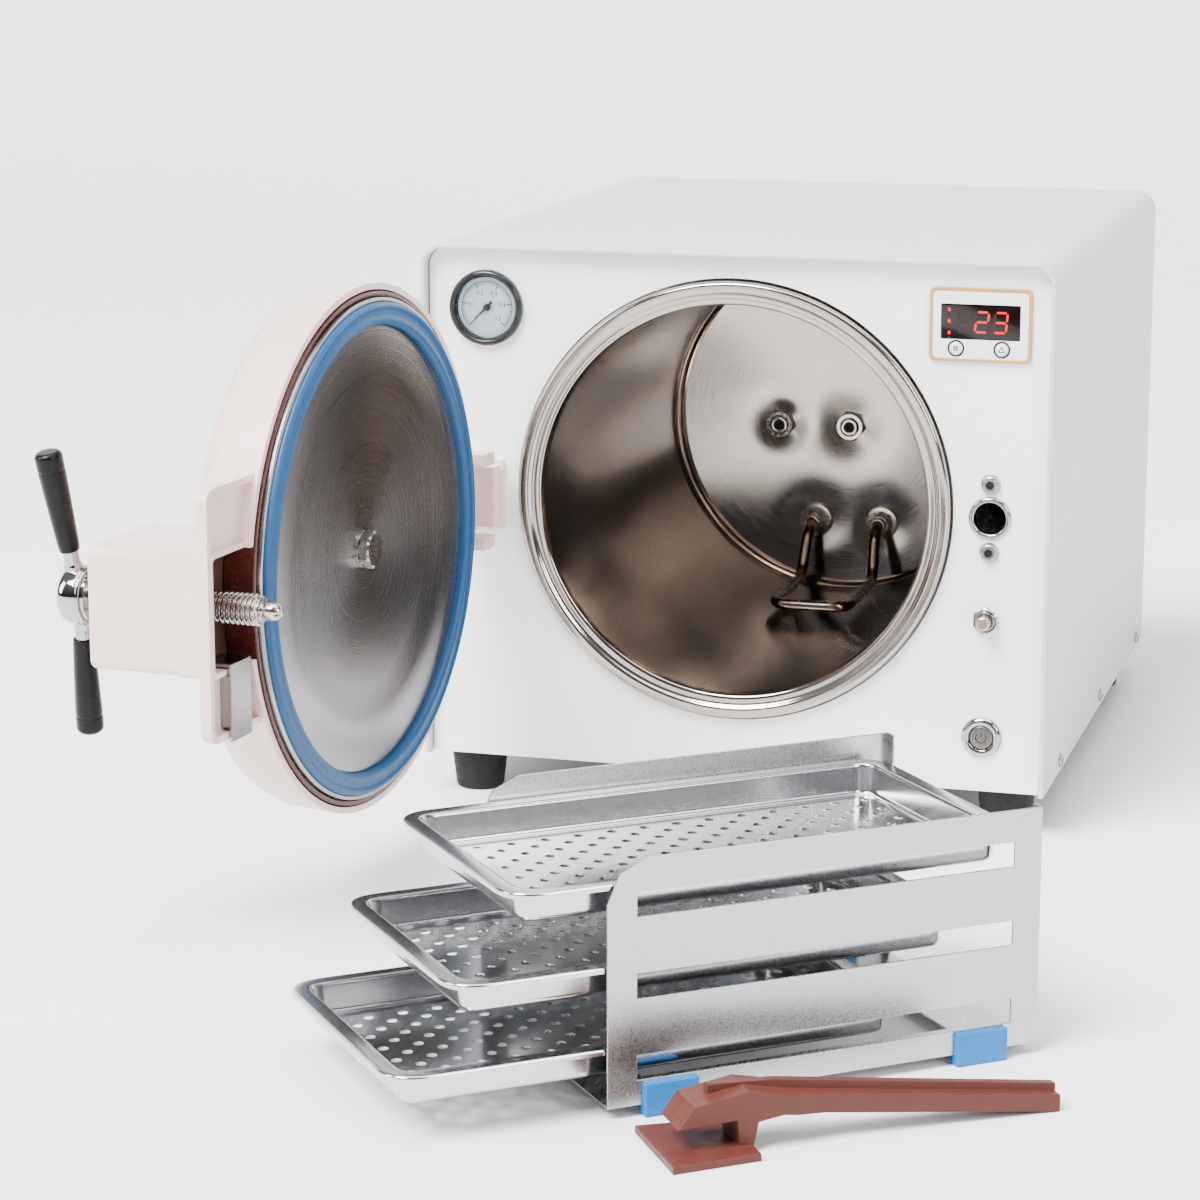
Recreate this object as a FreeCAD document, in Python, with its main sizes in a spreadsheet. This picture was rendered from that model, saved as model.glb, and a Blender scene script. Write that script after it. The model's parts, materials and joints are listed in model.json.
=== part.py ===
"""Benchtop steam autoclave with its door open, tray rack, three trays and tray handle.

Sizes are millimetres, +Z is up and the door side faces -Y.  Each sub-part is one object of the
document and is placed in one of four frames: the case, the door, the tray rack or the tray handle.
"""
import FreeCAD, Part
import math
import os
import Sketcher
from FreeCAD import Placement, Rotation, Vector

doc = FreeCAD.newDocument("autoclave")

# ---------------------------------------------------------------------------------------------
# Driving dimensions
# ---------------------------------------------------------------------------------------------
DRIVING = {
    # the row's origin, seen from the case's left front lower corner
    "origin_x": 199.0, "origin_y": -57.9,
    # case
    "case_width": 410, "case_height": 337, "case_depth": 474, "sheet": 1.5, "cover_radius": 15,
    "panel_setback": 8, "panel_gap": 2.5,
    "foot_height": 28, "foot_top_radius": 19, "foot_base_radius": 15.5, "foot_inset": 28,
    "front_foot_setback": 32, "rear_foot_setback": 45,
    # pressure chamber
    "chamber_x": 205.5, "chamber_z": 178, "chamber_radius": 125, "chamber_wall": 2,
    "chamber_length": 350, "lip_radius": 141, "lip_front": 2, "panel_hole_radius": 142.5,
    "back_sag": 13, "yoke_front": 16, "yoke_thick": 6, "yoke_height": 74,
    # heater
    "heater_radius": 4, "heater_spread": 24.5, "heater_x": 207.5, "gland_z": 100, "heater_z": 64,
    "heater_reach": 125,
    # steam ports in the chamber's back
    "left_port_x": 155, "right_port_x": 207, "port_z": 170,
    # pressure gauge
    "gauge_x": 42.6, "gauge_z": 296.2, "bezel_radius": 24.5, "dial_radius": 19.5,
    # display
    "display_x": 362.5, "display_z": 297, "display_width": 64, "display_height": 46,
    "window_width": 49.6, "window_height": 22, "window_rise": 1.8,
    "button_radius": 4, "left_button_x": -15, "right_button_x": 13.6, "button_drop": 14.8,
    # door lock and door switch on the front panel
    "lock_x": 371, "lock_z": 176, "nut_radius": 11, "nut_bore": 9.3, "lock_screw_spacing": 43,
    "switch_z": 111, "plunger_radius": 4.5, "plunger_front": -5.7,
    "power_x": 369, "power_z": 35.2, "power_radius": 13, "power_button_radius": 7.6,
    # door
    "hinge_x": 31.9, "hinge_y": -23.8, "door_open": 95, "pin_radius": 4,
    "fork_low": 144.5, "fork_high": 207, "fork_gap_low": 152.5, "fork_gap_high": 198.5,
    "shell_radius": 157.5, "shell_wall": 3.5, "shell_front": -5, "shell_back": -46,
    "seal_outer": 146.5, "seal_inner": 133, "seal_front": 1.6,
    "tab_free_edge": 404, "tab_height": 142, "tab_front": -8.4, "tab_depth": 7.5,
    "box_height": 70, "box_back": -85.4, "box_side": 400,
    # lock screw and its T handle
    "screw_radius": 9, "thread_pitch": 3, "thread_end": 7.6, "nose_radius": 5.5, "nose_end": 19.6,
    "hub_radius": 17, "hub_front": -98.4, "hub_length": 16,
    "arm_turn": 12.6, "arm_splay": 4.5, "arm_tip": 86, "grip_start": 27,
    # tray rack
    "rack_x": 322, "rack_y": -402, "rack_turn": -50, "rack_length": 244, "rack_width": 166,
    "rack_height": 133, "rack_sheet": 1.2, "rack_lift": 6, "rack_corner": 22,
    "rail_width": 9, "rail_low": 32, "rail_pitch": 42,
    # trays
    "tray_length": 286, "tray_width": 161, "tray_depth": 18, "tray_sheet": 0.8, "tray_rim": 9.5,
    "tray_corner": 18, "tray_hole_radius": 2.8, "tray_hole_pitch": 19,
    "top_overhang": 50, "middle_overhang": 80, "bottom_overhang": 112,
    # tray handle
    "tool_x": 402, "tool_y": -520, "tool_turn": -56, "tool_length": 210, "tool_blade": 58,
}


class Size(float):
    """A number that remembers the sheet expression it was worked out from."""

    def __new__(cls, value, text):
        made = float.__new__(cls, value)
        made.text = text
        return made

    def __add__(self, other):
        return Size(float(self) + float(other), "(%s + %s)" % (self.text, wording(other)))

    def __sub__(self, other):
        return Size(float(self) - float(other), "(%s - %s)" % (self.text, wording(other)))

    def __mul__(self, other):
        return Size(float(self) * float(other), "(%s * %s)" % (self.text, wording(other)))

    def __truediv__(self, other):
        return Size(float(self) / float(other), "(%s / %s)" % (self.text, wording(other)))

    def __radd__(self, other):
        return Size(float(other) + float(self), "(%s + %s)" % (wording(other), self.text))

    def __rsub__(self, other):
        return Size(float(other) - float(self), "(%s - %s)" % (wording(other), self.text))

    def __rmul__(self, other):
        return self * other

    def __neg__(self):
        return Size(-float(self), "(-1 * %s)" % self.text)


def wording(value):
    """The text of a number inside a sheet expression."""
    return value.text if isinstance(value, Size) else "(%.8g)" % value


def cosine(angle):
    """Cosine of an angle in degrees, still tied to the sheet."""
    return Size(math.cos(math.radians(angle)), "cos(%s * 1 deg)" % wording(angle))


def sine(angle):
    """Sine of an angle in degrees, still tied to the sheet."""
    return Size(math.sin(math.radians(angle)), "sin(%s * 1 deg)" % wording(angle))


class Dimensions:
    """The driving dimensions: one sheet row each, read back as sizes tied to their cells."""

    def __init__(self, values):
        sheet = doc.addObject("Spreadsheet::Sheet", "dims")
        for row, (name, number) in enumerate(values.items(), start=1):
            sheet.set("A%d" % row, name)
            sheet.set("B%d" % row, str(number))
            sheet.setAlias("B%d" % row, name)
        doc.recompute()
        for name in values:
            setattr(self, name, Size(sheet.get(name), "dims." + name))


d = Dimensions(DRIVING)


def tie(target, name, value):
    """Set one property, or bind it to the sheet when the value comes from there."""
    if isinstance(value, Size):
        target.setExpression(name, value.text)
    else:
        target.setExpression(name, None)
        if name.startswith("Placement.Base."):
            base = Vector(target.Placement.Base)
            setattr(base, name[-1], float(value))
            target.Placement = Placement(base, target.Placement.Rotation)
        else:
            setattr(target, name, float(value))


class Frame:
    """A place in the case that a group of pieces is drawn in: an origin and a turn about +Z."""

    def __init__(self, x, y, z, turn=0.0):
        self.x, self.y, self.z, self.turn = x, y, z, turn

    def place(self, target, at=(0, 0, 0), tilt=Rotation()):
        """Put a sub-part at a point of this frame; tilt is its own turn inside the frame."""
        across, along = cosine(self.turn), sine(self.turn)
        target.Placement = Placement(Vector(), Rotation(Vector(0, 0, 1), float(self.turn)) * tilt)
        tie(target, "Placement.Base.x", self.x + across * at[0] - along * at[1])
        tie(target, "Placement.Base.y", self.y + along * at[0] + across * at[1])
        tie(target, "Placement.Base.z", self.z + at[2])


case = Frame(-d.origin_x, -d.origin_y, d.foot_height)
door = Frame(d.hinge_x - d.origin_x, d.hinge_y - d.origin_y, d.foot_height, -d.door_open)
rack = Frame(d.rack_x - d.origin_x, d.rack_y - d.origin_y, 0, d.rack_turn)
tool = Frame(d.tool_x - d.origin_x, d.tool_y - d.origin_y, 0, d.tool_turn)

SUB_PARTS = []


def keep(target, label, frame, at=(0, 0, 0), tilt=Rotation()):
    """Name a finished sub-part, place it and list it for export."""
    target.Label = label
    frame.place(target, at, tilt)
    SUB_PARTS.append(target)
    return target


# ---------------------------------------------------------------------------------------------
# Ways of making a piece
# ---------------------------------------------------------------------------------------------
def new_body(label, frame, at=(0, 0, 0), tilt=Rotation()):
    return keep(doc.addObject("PartDesign::Body", "Body_" + label), label, frame, at, tilt)


def sketch_on(body, role, offset=0.0):
    """A sketch on one of the body's own origin planes, moved along that plane's normal."""
    plane = [item for item in body.Origin.OriginFeatures if item.Role == role][0]
    sketch = body.newObject("Sketcher::SketchObject", "Sketch_" + body.Label)
    sketch.AttachmentSupport = (plane, [""])
    sketch.MapMode = "FlatFace"
    if isinstance(offset, Size):
        sketch.setExpression("AttachmentOffset.Base.z", offset.text)
    sketch.AttachmentOffset = Placement(Vector(0, 0, float(offset)), Rotation())
    return sketch


def hold(sketch, kind, *where_and_value):
    """Add a dimension to a sketch and tie it to the sheet where it comes from there."""
    *where, value = where_and_value
    number = sketch.addConstraint(Sketcher.Constraint(kind, *where, float(value)))
    if isinstance(value, Size):
        sketch.setExpression("Constraints[%d]" % number, value.text)


def outline(sketch, points):
    """A closed straight-sided outline whose corners are dimensioned from the sketch's origin."""
    first = sketch.GeometryCount
    count = len(points)
    for index in range(count):
        start, end = points[index], points[(index + 1) % count]
        line = Part.LineSegment(Vector(*map(float, start), 0), Vector(*map(float, end), 0))
        sketch.addGeometry(line, False)
    for index in range(count):
        following = first + (index + 1) % count
        sketch.addConstraint(Sketcher.Constraint("Coincident", first + index, 2, following, 1))
    for index, (across, up) in enumerate(points):
        hold(sketch, "DistanceX", -1, 1, first + index, 1, across)
        hold(sketch, "DistanceY", -1, 1, first + index, 1, up)


def rectangle(sketch, left, right, low, high):
    outline(sketch, [(left, low), (right, low), (right, high), (left, high)])


def hexagon(sketch, across, up, width):
    """A regular hexagon of a given width across its flats."""
    corner = width * (1 / math.sqrt(3))
    points = [
        (across + corner * math.cos(math.radians(angle)), up + corner * math.sin(math.radians(angle)))
        for angle in range(0, 360, 60)
    ]
    outline(sketch, points)


def circle(sketch, across, up, radius):
    number = sketch.addGeometry(
        Part.Circle(Vector(float(across), float(up), 0), Vector(0, 0, 1), float(radius)), False
    )
    hold(sketch, "DistanceX", -1, 1, number, 3, across)
    hold(sketch, "DistanceY", -1, 1, number, 3, up)
    hold(sketch, "Radius", number, radius)


def pad(body, sketch, length, backwards=False):
    feature = body.newObject("PartDesign::Pad", "Pad_" + body.Label)
    feature.Profile = sketch
    feature.Reversed = backwards
    tie(feature, "Length", length)
    return feature


def pocket(body, sketch, length, backwards=False):
    """Cut a sketch out of the body, and stop if nothing was removed."""
    doc.recompute()
    before = body.Shape.Volume
    feature = body.newObject("PartDesign::Pocket", "Pocket_" + body.Label)
    feature.Profile = sketch
    feature.Reversed = backwards
    tie(feature, "Length", length)
    doc.recompute()
    if body.Shape.Volume >= before - 1e-3:
        raise RuntimeError("a pocket in %s removed nothing" % body.Label)
    return feature


def front_plate(body, y_front, thickness, outlines):
    """A sheet that faces -Y: its outlines are drawn on XZ and padded from y_front towards +Y."""
    sketch = sketch_on(body, "XZ_Plane", -y_front)
    for draw, values in outlines:
        draw(sketch, *values)
    return pad(body, sketch, thickness, backwards=True)


def add_turn(body, profile, about="Y"):
    """Turn a profile of (along the axis, radius) points about the body's own Y or Z axis."""
    if about == "Y":
        sketch = sketch_on(body, "YZ_Plane")
        outline(sketch, profile)
        axis = "H_Axis"
    else:
        sketch = sketch_on(body, "XZ_Plane")
        outline(sketch, [(radius, along) for along, radius in profile])
        axis = "V_Axis"
    feature = body.newObject("PartDesign::Revolution", "Turn_" + body.Label)
    feature.Profile = sketch
    feature.ReferenceAxis = (sketch, [axis])
    feature.Angle = 360


def turned(label, profile, frame, at=(0, 0, 0), about="Y"):
    """A sub-part that is one turned piece."""
    body = new_body(label, frame, at)
    add_turn(body, profile, about)
    return body


def round_edges(body, radius, chosen):
    """Fillet the edges for which chosen(edge) is true."""
    doc.recompute()
    base = body.Tip
    edges = base.Shape.Edges
    names = ["Edge%d" % (index + 1) for index, edge in enumerate(edges) if chosen(edge)]
    if not names:
        raise RuntimeError("no edge of %s was chosen for its fillet" % body.Label)
    feature = body.newObject("PartDesign::Fillet", "Fillet_" + body.Label)
    feature.Base = (base, names)
    tie(feature, "Radius", radius)
    body.Tip = feature
    return feature


def runs_along(axis, edge):
    """True for a straight edge parallel to the X, Y or Z axis."""
    if not isinstance(edge.Curve, Part.Line):
        return False
    return abs(getattr(edge.Curve.Direction, axis)) > 0.999


def block(left, right, front, back, low, high):
    """A box between six planes."""
    made = doc.addObject("Part::Box", "Block")
    tie(made, "Length", right - left)
    tie(made, "Width", back - front)
    tie(made, "Height", high - low)
    tie(made, "Placement.Base.x", left)
    tie(made, "Placement.Base.y", front)
    tie(made, "Placement.Base.z", low)
    return made


TURNS = {"x": Rotation(Vector(0, 1, 0), 90), "y": Rotation(Vector(1, 0, 0), -90), "z": Rotation()}


def rod(axis, centre, radius, length, far_radius=None):
    """A cylinder, or a cone with far_radius, that starts at centre and runs along an axis."""
    made = doc.addObject("Part::Cylinder" if far_radius is None else "Part::Cone", "Rod")
    if far_radius is None:
        tie(made, "Radius", radius)
    else:
        tie(made, "Radius1", radius)
        tie(made, "Radius2", far_radius)
    tie(made, "Height", length)
    made.Placement = Placement(Vector(), TURNS[axis])
    for letter, value in zip("xyz", centre):
        tie(made, "Placement.Base." + letter, value)
    return made


def joined(pieces):
    made = doc.addObject("Part::MultiFuse", "Joined")
    made.Shapes = pieces
    return made


def cut(base, tool_shape):
    made = doc.addObject("Part::Cut", "Cut")
    made.Base = base
    made.Tool = tool_shape
    return made


def group(pieces):
    """Several loose solids kept as one sub-part."""
    made = doc.addObject("Part::Compound", "Group")
    made.Links = pieces
    return made


def bent_wire(points, bend):
    """Straight runs through the points, joined by tangent arcs of one bend radius."""
    edges = []
    start = Vector(*map(float, points[0]))
    for before, corner, after in zip(points, points[1:], points[2:]):
        corner = Vector(*map(float, corner))
        inward = (corner - Vector(*map(float, before))).normalize()
        outward = (Vector(*map(float, after)) - corner).normalize()
        turn = inward.getAngle(outward)
        setback = bend * math.tan(turn / 2)
        arc_start, arc_end = corner - inward * setback, corner + outward * setback
        to_centre = (outward - inward).normalize() * (bend / math.cos(turn / 2))
        arc_middle = corner + to_centre - (to_centre * (1 / to_centre.Length)) * bend
        edges.append(Part.LineSegment(start, arc_start).toShape())
        edges.append(Part.Arc(arc_start, arc_middle, arc_end).toShape())
        start = arc_end
    edges.append(Part.LineSegment(start, Vector(*map(float, points[-1]))).toShape())
    return Part.Wire(edges)


def pipe_shape(points, bend, radius):
    """A solid round bar swept along a bent wire."""
    path = bent_wire(points, bend)
    direction = path.Edges[0].tangentAt(path.Edges[0].FirstParameter)
    ring = Part.Wire(Part.makeCircle(float(radius), path.Edges[0].Vertexes[0].Point, direction))
    return path.makePipeShell([ring], True, False)


def finished_shape(label, shape, frame, at=(0, 0, 0)):
    """A sub-part whose shape is worked out with Part's own functions."""
    feature = doc.addObject("Part::Feature", "Shape_" + label)
    feature.Shape = shape
    return keep(feature, label, frame, at)


# ---------------------------------------------------------------------------------------------
# Case: wrap cover, base, panels, feet and their screws
# ---------------------------------------------------------------------------------------------
wrap_cover = new_body("wrap_cover", case)
front_plate(wrap_cover, 0, d.case_depth, [(outline, [[
    (0, 0), (0, d.case_height), (d.case_width, d.case_height),
    (d.case_width, 0), (d.case_width - d.sheet, 0),
    (d.case_width - d.sheet, d.case_height - d.sheet), (d.sheet, d.case_height - d.sheet),
    (d.sheet, 0),
]])])
round_edges(
    wrap_cover, d.cover_radius - d.sheet,
    lambda edge: runs_along("y", edge)
    and abs(edge.CenterOfMass.z - (d.case_height - d.sheet)) < 0.1,
)
round_edges(
    wrap_cover, d.cover_radius,
    lambda edge: runs_along("y", edge) and abs(edge.CenterOfMass.z - d.case_height) < 0.1
    and min(edge.CenterOfMass.x, d.case_width - edge.CenterOfMass.x) < 0.1,
)

BASE_FLANGE = 18
base_plate = new_body("base_plate", case)
base_front = d.panel_setback + 14
front_plate(base_plate, base_front, d.case_depth - base_front - 24, [(outline, [[
    (d.sheet, 0), (d.case_width - d.sheet, 0), (d.case_width - d.sheet, BASE_FLANGE),
    (d.case_width - d.sheet * 2, BASE_FLANGE), (d.case_width - d.sheet * 2, d.sheet),
    (d.sheet * 2, d.sheet), (d.sheet * 2, BASE_FLANGE), (d.sheet, BASE_FLANGE),
]])])

panel_left = d.sheet + d.panel_gap
panel_right = d.case_width - d.sheet - 1
panel_top = d.case_height - d.sheet - 1
screw_high = d.lock_z + d.lock_screw_spacing / 2
screw_low = d.lock_z - d.lock_screw_spacing / 2
front_panel = new_body("front_panel", case)
front_plate(front_panel, d.panel_setback, d.sheet, [
    (rectangle, (panel_left, panel_right, 0, panel_top)),
    (circle, (d.chamber_x, d.chamber_z, d.panel_hole_radius)),
    (circle, (d.gauge_x, d.gauge_z, d.bezel_radius - 3.2)),
    (circle, (d.lock_x, d.lock_z, d.nut_radius + 1.8)),
    (circle, (d.lock_x, screw_high, 3.2)),
    (circle, (d.lock_x, screw_low, 3.2)),
    (circle, (d.lock_x - 1, d.switch_z, 6.2)),
    (circle, (d.power_x, d.power_z, 11)),
    (rectangle, (d.display_x - 29, d.display_x + 29, d.display_z - 20, d.display_z + 20)),
])
round_edges(
    front_panel, d.cover_radius - d.sheet - 1,
    lambda edge: runs_along("y", edge) and abs(edge.CenterOfMass.z - panel_top) < 0.1
    and min(edge.CenterOfMass.x - panel_left, panel_right - edge.CenterOfMass.x) < 0.1,
)
FLANGE_DEPTH, FLANGE_SHEET = 12, 1.2
front_plate(front_panel, d.panel_setback + d.sheet, FLANGE_DEPTH, [
    (rectangle, (panel_left, panel_right, 0, FLANGE_DEPTH)),
    (rectangle, (panel_left, panel_left + FLANGE_SHEET, FLANGE_DEPTH, panel_top - d.cover_radius)),
    (rectangle, (panel_right - FLANGE_SHEET, panel_right, FLANGE_DEPTH, panel_top - d.cover_radius)),
])
flange_gap = sketch_on(front_panel, "XZ_Plane", -(d.panel_setback + d.sheet))
rectangle(
    flange_gap, panel_left + FLANGE_SHEET, panel_right - FLANGE_SHEET, FLANGE_SHEET, FLANGE_DEPTH
)
pocket(front_panel, flange_gap, FLANGE_DEPTH + 0.5)

INLET_X, INLET_Z = 330, 60
EXHAUST_X, EXHAUST_Z = 90, 60
FUSE_X = 285
rear_panel = new_body("rear_panel", case)
rear_y = d.case_depth - 10
front_plate(rear_panel, rear_y, d.sheet, [
    (rectangle, (d.sheet + 0.5, d.case_width - d.sheet - 0.5, 0, panel_top)),
    (rectangle, (INLET_X - 14, INLET_X + 14, INLET_Z - 10, INLET_Z + 10)),
    (circle, (EXHAUST_X, EXHAUST_Z, 8)),
    (circle, (FUSE_X, INLET_Z, 6.5)),
])
round_edges(
    rear_panel, d.cover_radius - d.sheet,
    lambda edge: runs_along("y", edge) and abs(edge.CenterOfMass.z - panel_top) < 0.1,
)
VENT_COUNT, VENT_PITCH, VENT_GAP = 8, 11, 4
VENT_LEFT, VENT_RIGHT, VENT_LOW = 130, 280, 190
vents = sketch_on(rear_panel, "XZ_Plane", -rear_y)
for index in range(VENT_COUNT):
    vent_z = VENT_LOW + VENT_PITCH * index
    rectangle(vents, VENT_LEFT, VENT_RIGHT, vent_z, vent_z + VENT_GAP)
pocket(rear_panel, vents, 3)

foot_spots = [
    (x, y)
    for x in (d.foot_inset, d.case_width - d.foot_inset)
    for y in (d.front_foot_setback, d.case_depth - d.rear_foot_setback)
]
feet = []
for x, y in foot_spots:
    cone = rod("z", (x, y, -d.foot_height), d.foot_base_radius, d.foot_height, d.foot_top_radius)
    recess = rod("z", (x, y, -d.foot_height), 5.5, 9)
    feet.append(cut(cone, recess))
keep(group(feet), "feet", case)

SIDE_SCREW_Y = (68, 249, 437)
SIDE_SCREW_Z = 8
REAR_SCREW_X = (12, 398)
REAR_SCREW_Z = (14, 160, 306)
case_screws = []
for y in SIDE_SCREW_Y:
    right_head = rod("x", (d.case_width, y, SIDE_SCREW_Z), 4.6, 2.4, 3.2)
    right_shank = rod("x", (d.case_width - 8, y, SIDE_SCREW_Z), 2, 8)
    left_head = rod("x", (-2.4, y, SIDE_SCREW_Z), 3.2, 2.4, 4.6)
    left_shank = rod("x", (0, y, SIDE_SCREW_Z), 2, 8)
    case_screws += [joined([right_head, right_shank]), joined([left_head, left_shank])]
for x in REAR_SCREW_X:
    for z in REAR_SCREW_Z:
        head = rod("y", (x, rear_y + d.sheet, z), 4.2, 2.2, 3)
        shank = rod("y", (x, rear_y - 6, z), 1.8, 7.5)
        case_screws.append(joined([head, shank]))
keep(group(case_screws), "case_screws", case)

# ---------------------------------------------------------------------------------------------
# Pressure chamber: rolled tube with its front lip, dished back, yoke plate, jacket and saddles
# ---------------------------------------------------------------------------------------------
chamber_centre = (d.chamber_x, 0, d.chamber_z)
tube_outer = d.chamber_radius + d.chamber_wall
chamber_end = d.lip_front + d.chamber_length
turned("chamber_vessel", [
    (d.lip_front + 2.5, d.chamber_radius), (d.lip_front, d.chamber_radius + 2.5),
    (d.lip_front, d.lip_radius - 2.5), (d.lip_front + 2.5, d.lip_radius),
    (d.lip_front + 12, d.lip_radius), (d.lip_front + 12, d.lip_radius - 2),
    (d.lip_front + 4, d.lip_radius - 2), (d.lip_front + 4, tube_outer),
    (chamber_end, tube_outer), (chamber_end, d.chamber_radius),
], case, chamber_centre)

# the back is a shallow dome; its sag falls off as the square of the radius
DOME_STEPS = 6
dome = []
for step in range(DOME_STEPS + 1):
    share = step / DOME_STEPS
    dome.append((chamber_end + d.back_sag * (1 - share * share), tube_outer * share))
dome_outside = [(along + d.chamber_wall, radius) for along, radius in reversed(dome)]
chamber_back = turned("chamber_back", dome + dome_outside, case, chamber_centre)

# the back's turned collar runs a little way up the inside of the tube
add_turn(chamber_back, [
    (chamber_end - 9, d.chamber_radius - 0.1), (chamber_end - 7, d.chamber_radius - 3.5),
    (chamber_end + 1, d.chamber_radius - 3.5), (chamber_end + 1, d.chamber_radius - 0.1),
])

yoke_back = d.yoke_front + d.yoke_thick
yoke_plate = new_body("yoke_plate", case)
front_plate(yoke_plate, d.yoke_front, d.yoke_thick, [
    (outline, [[
        (16, d.lock_z - d.yoke_height / 2), (60, d.lock_z - d.yoke_height / 2),
        (110, d.chamber_z - 148), (300, d.chamber_z - 148),
        (350, d.lock_z - d.yoke_height / 2), (398, d.lock_z - d.yoke_height / 2),
        (398, d.lock_z + d.yoke_height / 2), (350, d.lock_z + d.yoke_height / 2),
        (300, d.chamber_z + 148), (110, d.chamber_z + 148),
        (60, d.lock_z + d.yoke_height / 2), (16, d.lock_z + d.yoke_height / 2),
    ]]),
    (circle, (d.chamber_x, d.chamber_z, tube_outer)),
    (circle, (d.lock_x, d.lock_z, d.nut_radius)),
    (circle, (d.lock_x, screw_high, 3)),
    (circle, (d.lock_x, screw_low, 3)),
])

jacket_outer = d.lip_radius - 1
turned("insulation_jacket", [
    (yoke_back + 2, tube_outer + 0.2), (yoke_back + 2, jacket_outer),
    (chamber_end - 4, jacket_outer), (chamber_end - 4, tube_outer + 0.2),
], case, chamber_centre)

saddle_hole = rod("y", (d.chamber_x, 40, d.chamber_z), jacket_outer, 330)
saddle_blocks = []
for y in (70, 290):
    web = block(d.chamber_x - 95, d.chamber_x + 95, y, y + 3, d.sheet, 100)
    toe = block(d.chamber_x - 95, d.chamber_x + 95, y + 3, y + 20, d.sheet, d.sheet + 3)
    saddle_blocks.append(cut(joined([web, toe]), saddle_hole))
keep(group(saddle_blocks), "chamber_saddles", case)

# ---------------------------------------------------------------------------------------------
# Heater, its glands, the steam ports and the pipework behind the chamber
# ---------------------------------------------------------------------------------------------
left_leg = d.heater_x - d.heater_spread
right_leg = d.heater_x + d.heater_spread
gland_y = chamber_end
port_radius = 7
gland_radius = 8


def dome_face(x, z, reach):
    """How far back the inside of the dome stands where a flat flange of that reach meets it."""
    outward = math.hypot(x - d.chamber_x, z - d.chamber_z) + reach
    return chamber_end + d.back_sag * (1 - (outward / tube_outer) ** 2)


back_holes = sketch_on(chamber_back, "XZ_Plane", -(chamber_end + 1))
for x in (left_leg, right_leg):
    circle(back_holes, x - d.chamber_x, d.gland_z - d.chamber_z, gland_radius + 0.1)
for x in (d.left_port_x, d.right_port_x):
    circle(back_holes, x - d.chamber_x, d.port_z - d.chamber_z, port_radius + 0.1)
pocket(chamber_back, back_holes, d.back_sag + 6)
heater_front = chamber_end - d.heater_reach
heater_route = [
    (left_leg, gland_y + 32, d.gland_z), (left_leg, gland_y - 18, d.gland_z),
    (left_leg - 2, gland_y - 34, d.heater_z), (left_leg - 2, heater_front, d.heater_z),
    (right_leg + 2, heater_front, d.heater_z), (right_leg + 2, gland_y - 34, d.heater_z),
    (right_leg, gland_y - 18, d.gland_z), (right_leg, gland_y + 32, d.gland_z),
]
HEATER_BEND = 11
finished_shape("heater_element", pipe_shape(heater_route, HEATER_BEND, d.heater_radius), case)

gland_pieces = []
for x in (left_leg, right_leg):
    face = dome_face(x, d.gland_z, 12)
    flange = rod("y", (x, face - 3.6, d.gland_z), 12, 3.6)
    neck = rod("y", (x, face - 13, d.gland_z), 7, 10)
    stem = rod("y", (x, face - 1, d.gland_z), gland_radius, 22)
    rear_nut = rod("y", (x, face + 6.2, d.gland_z), 13, 7)
    gland_bore = rod("y", (x, gland_y - 20, d.gland_z), d.heater_radius + 0.05, 60)
    gland_pieces.append(cut(joined([flange, neck, stem, rear_nut]), gland_bore))
keep(group(gland_pieces), "heater_glands", case)

port_pieces = []
for x in (d.left_port_x, d.right_port_x):
    face = dome_face(x, d.port_z, 10.5)
    inner_nut = rod("y", (x, face - 11, d.port_z), 10.5, 11)
    stem = rod("y", (x, face - 1, d.port_z), port_radius, gland_y + 32 - face + 1)
    port_bore = rod("y", (x, face - 20, d.port_z), 3.5, 70)
    port_pieces.append(cut(joined([inner_nut, stem]), port_bore))
keep(group(port_pieces), "steam_ports", case)

PIPE_RADIUS = 3
pipe_y = gland_y + 50
drain_route = [
    (d.right_port_x, gland_y + 32, d.port_z), (d.right_port_x, pipe_y, d.port_z),
    (d.right_port_x, pipe_y, 60), (150, pipe_y, 60),
]
valve_body = block(118, 150, pipe_y - 14, pipe_y + 14, 46, 74)
valve_coil = rod("z", (134, pipe_y, 74), 13, 34)
keep(joined([valve_body, valve_coil]), "drain_valve", case)
outlet_route = [(118, pipe_y, 60), (EXHAUST_X, pipe_y, 60), (EXHAUST_X, rear_y - 6, 60)]
gauge_route = [
    (d.gauge_x, d.panel_setback + 28, d.gauge_z), (d.gauge_x, pipe_y - 10, d.gauge_z),
    (d.gauge_x, pipe_y - 10, 250), (d.left_port_x - 60, pipe_y - 10, 230),
]
finished_shape("steam_pipes", Part.makeCompound([
    pipe_shape(drain_route, 14, PIPE_RADIUS), pipe_shape(outlet_route, 14, PIPE_RADIUS),
    pipe_shape(gauge_route, 16, 2),
]), case)

turned("exhaust_outlet", [
    (rear_y - 6, 2.5), (rear_y - 6, 7.5), (rear_y, 7.5), (rear_y + d.sheet, 7.5),
    (rear_y + d.sheet, 10), (rear_y + 5, 10), (rear_y + 5, 5), (rear_y + 27, 5),
    (rear_y + 27, 2.5),
], case, (EXHAUST_X, 0, EXHAUST_Z))

turned("safety_valve", [
    (0, 5), (0, 9), (12, 9), (12, 11), (30, 11), (34, 7), (40, 7), (40, 0), (2, 0), (2, 5),
], case, (d.left_port_x, gland_y + 33, d.port_z))

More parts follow.
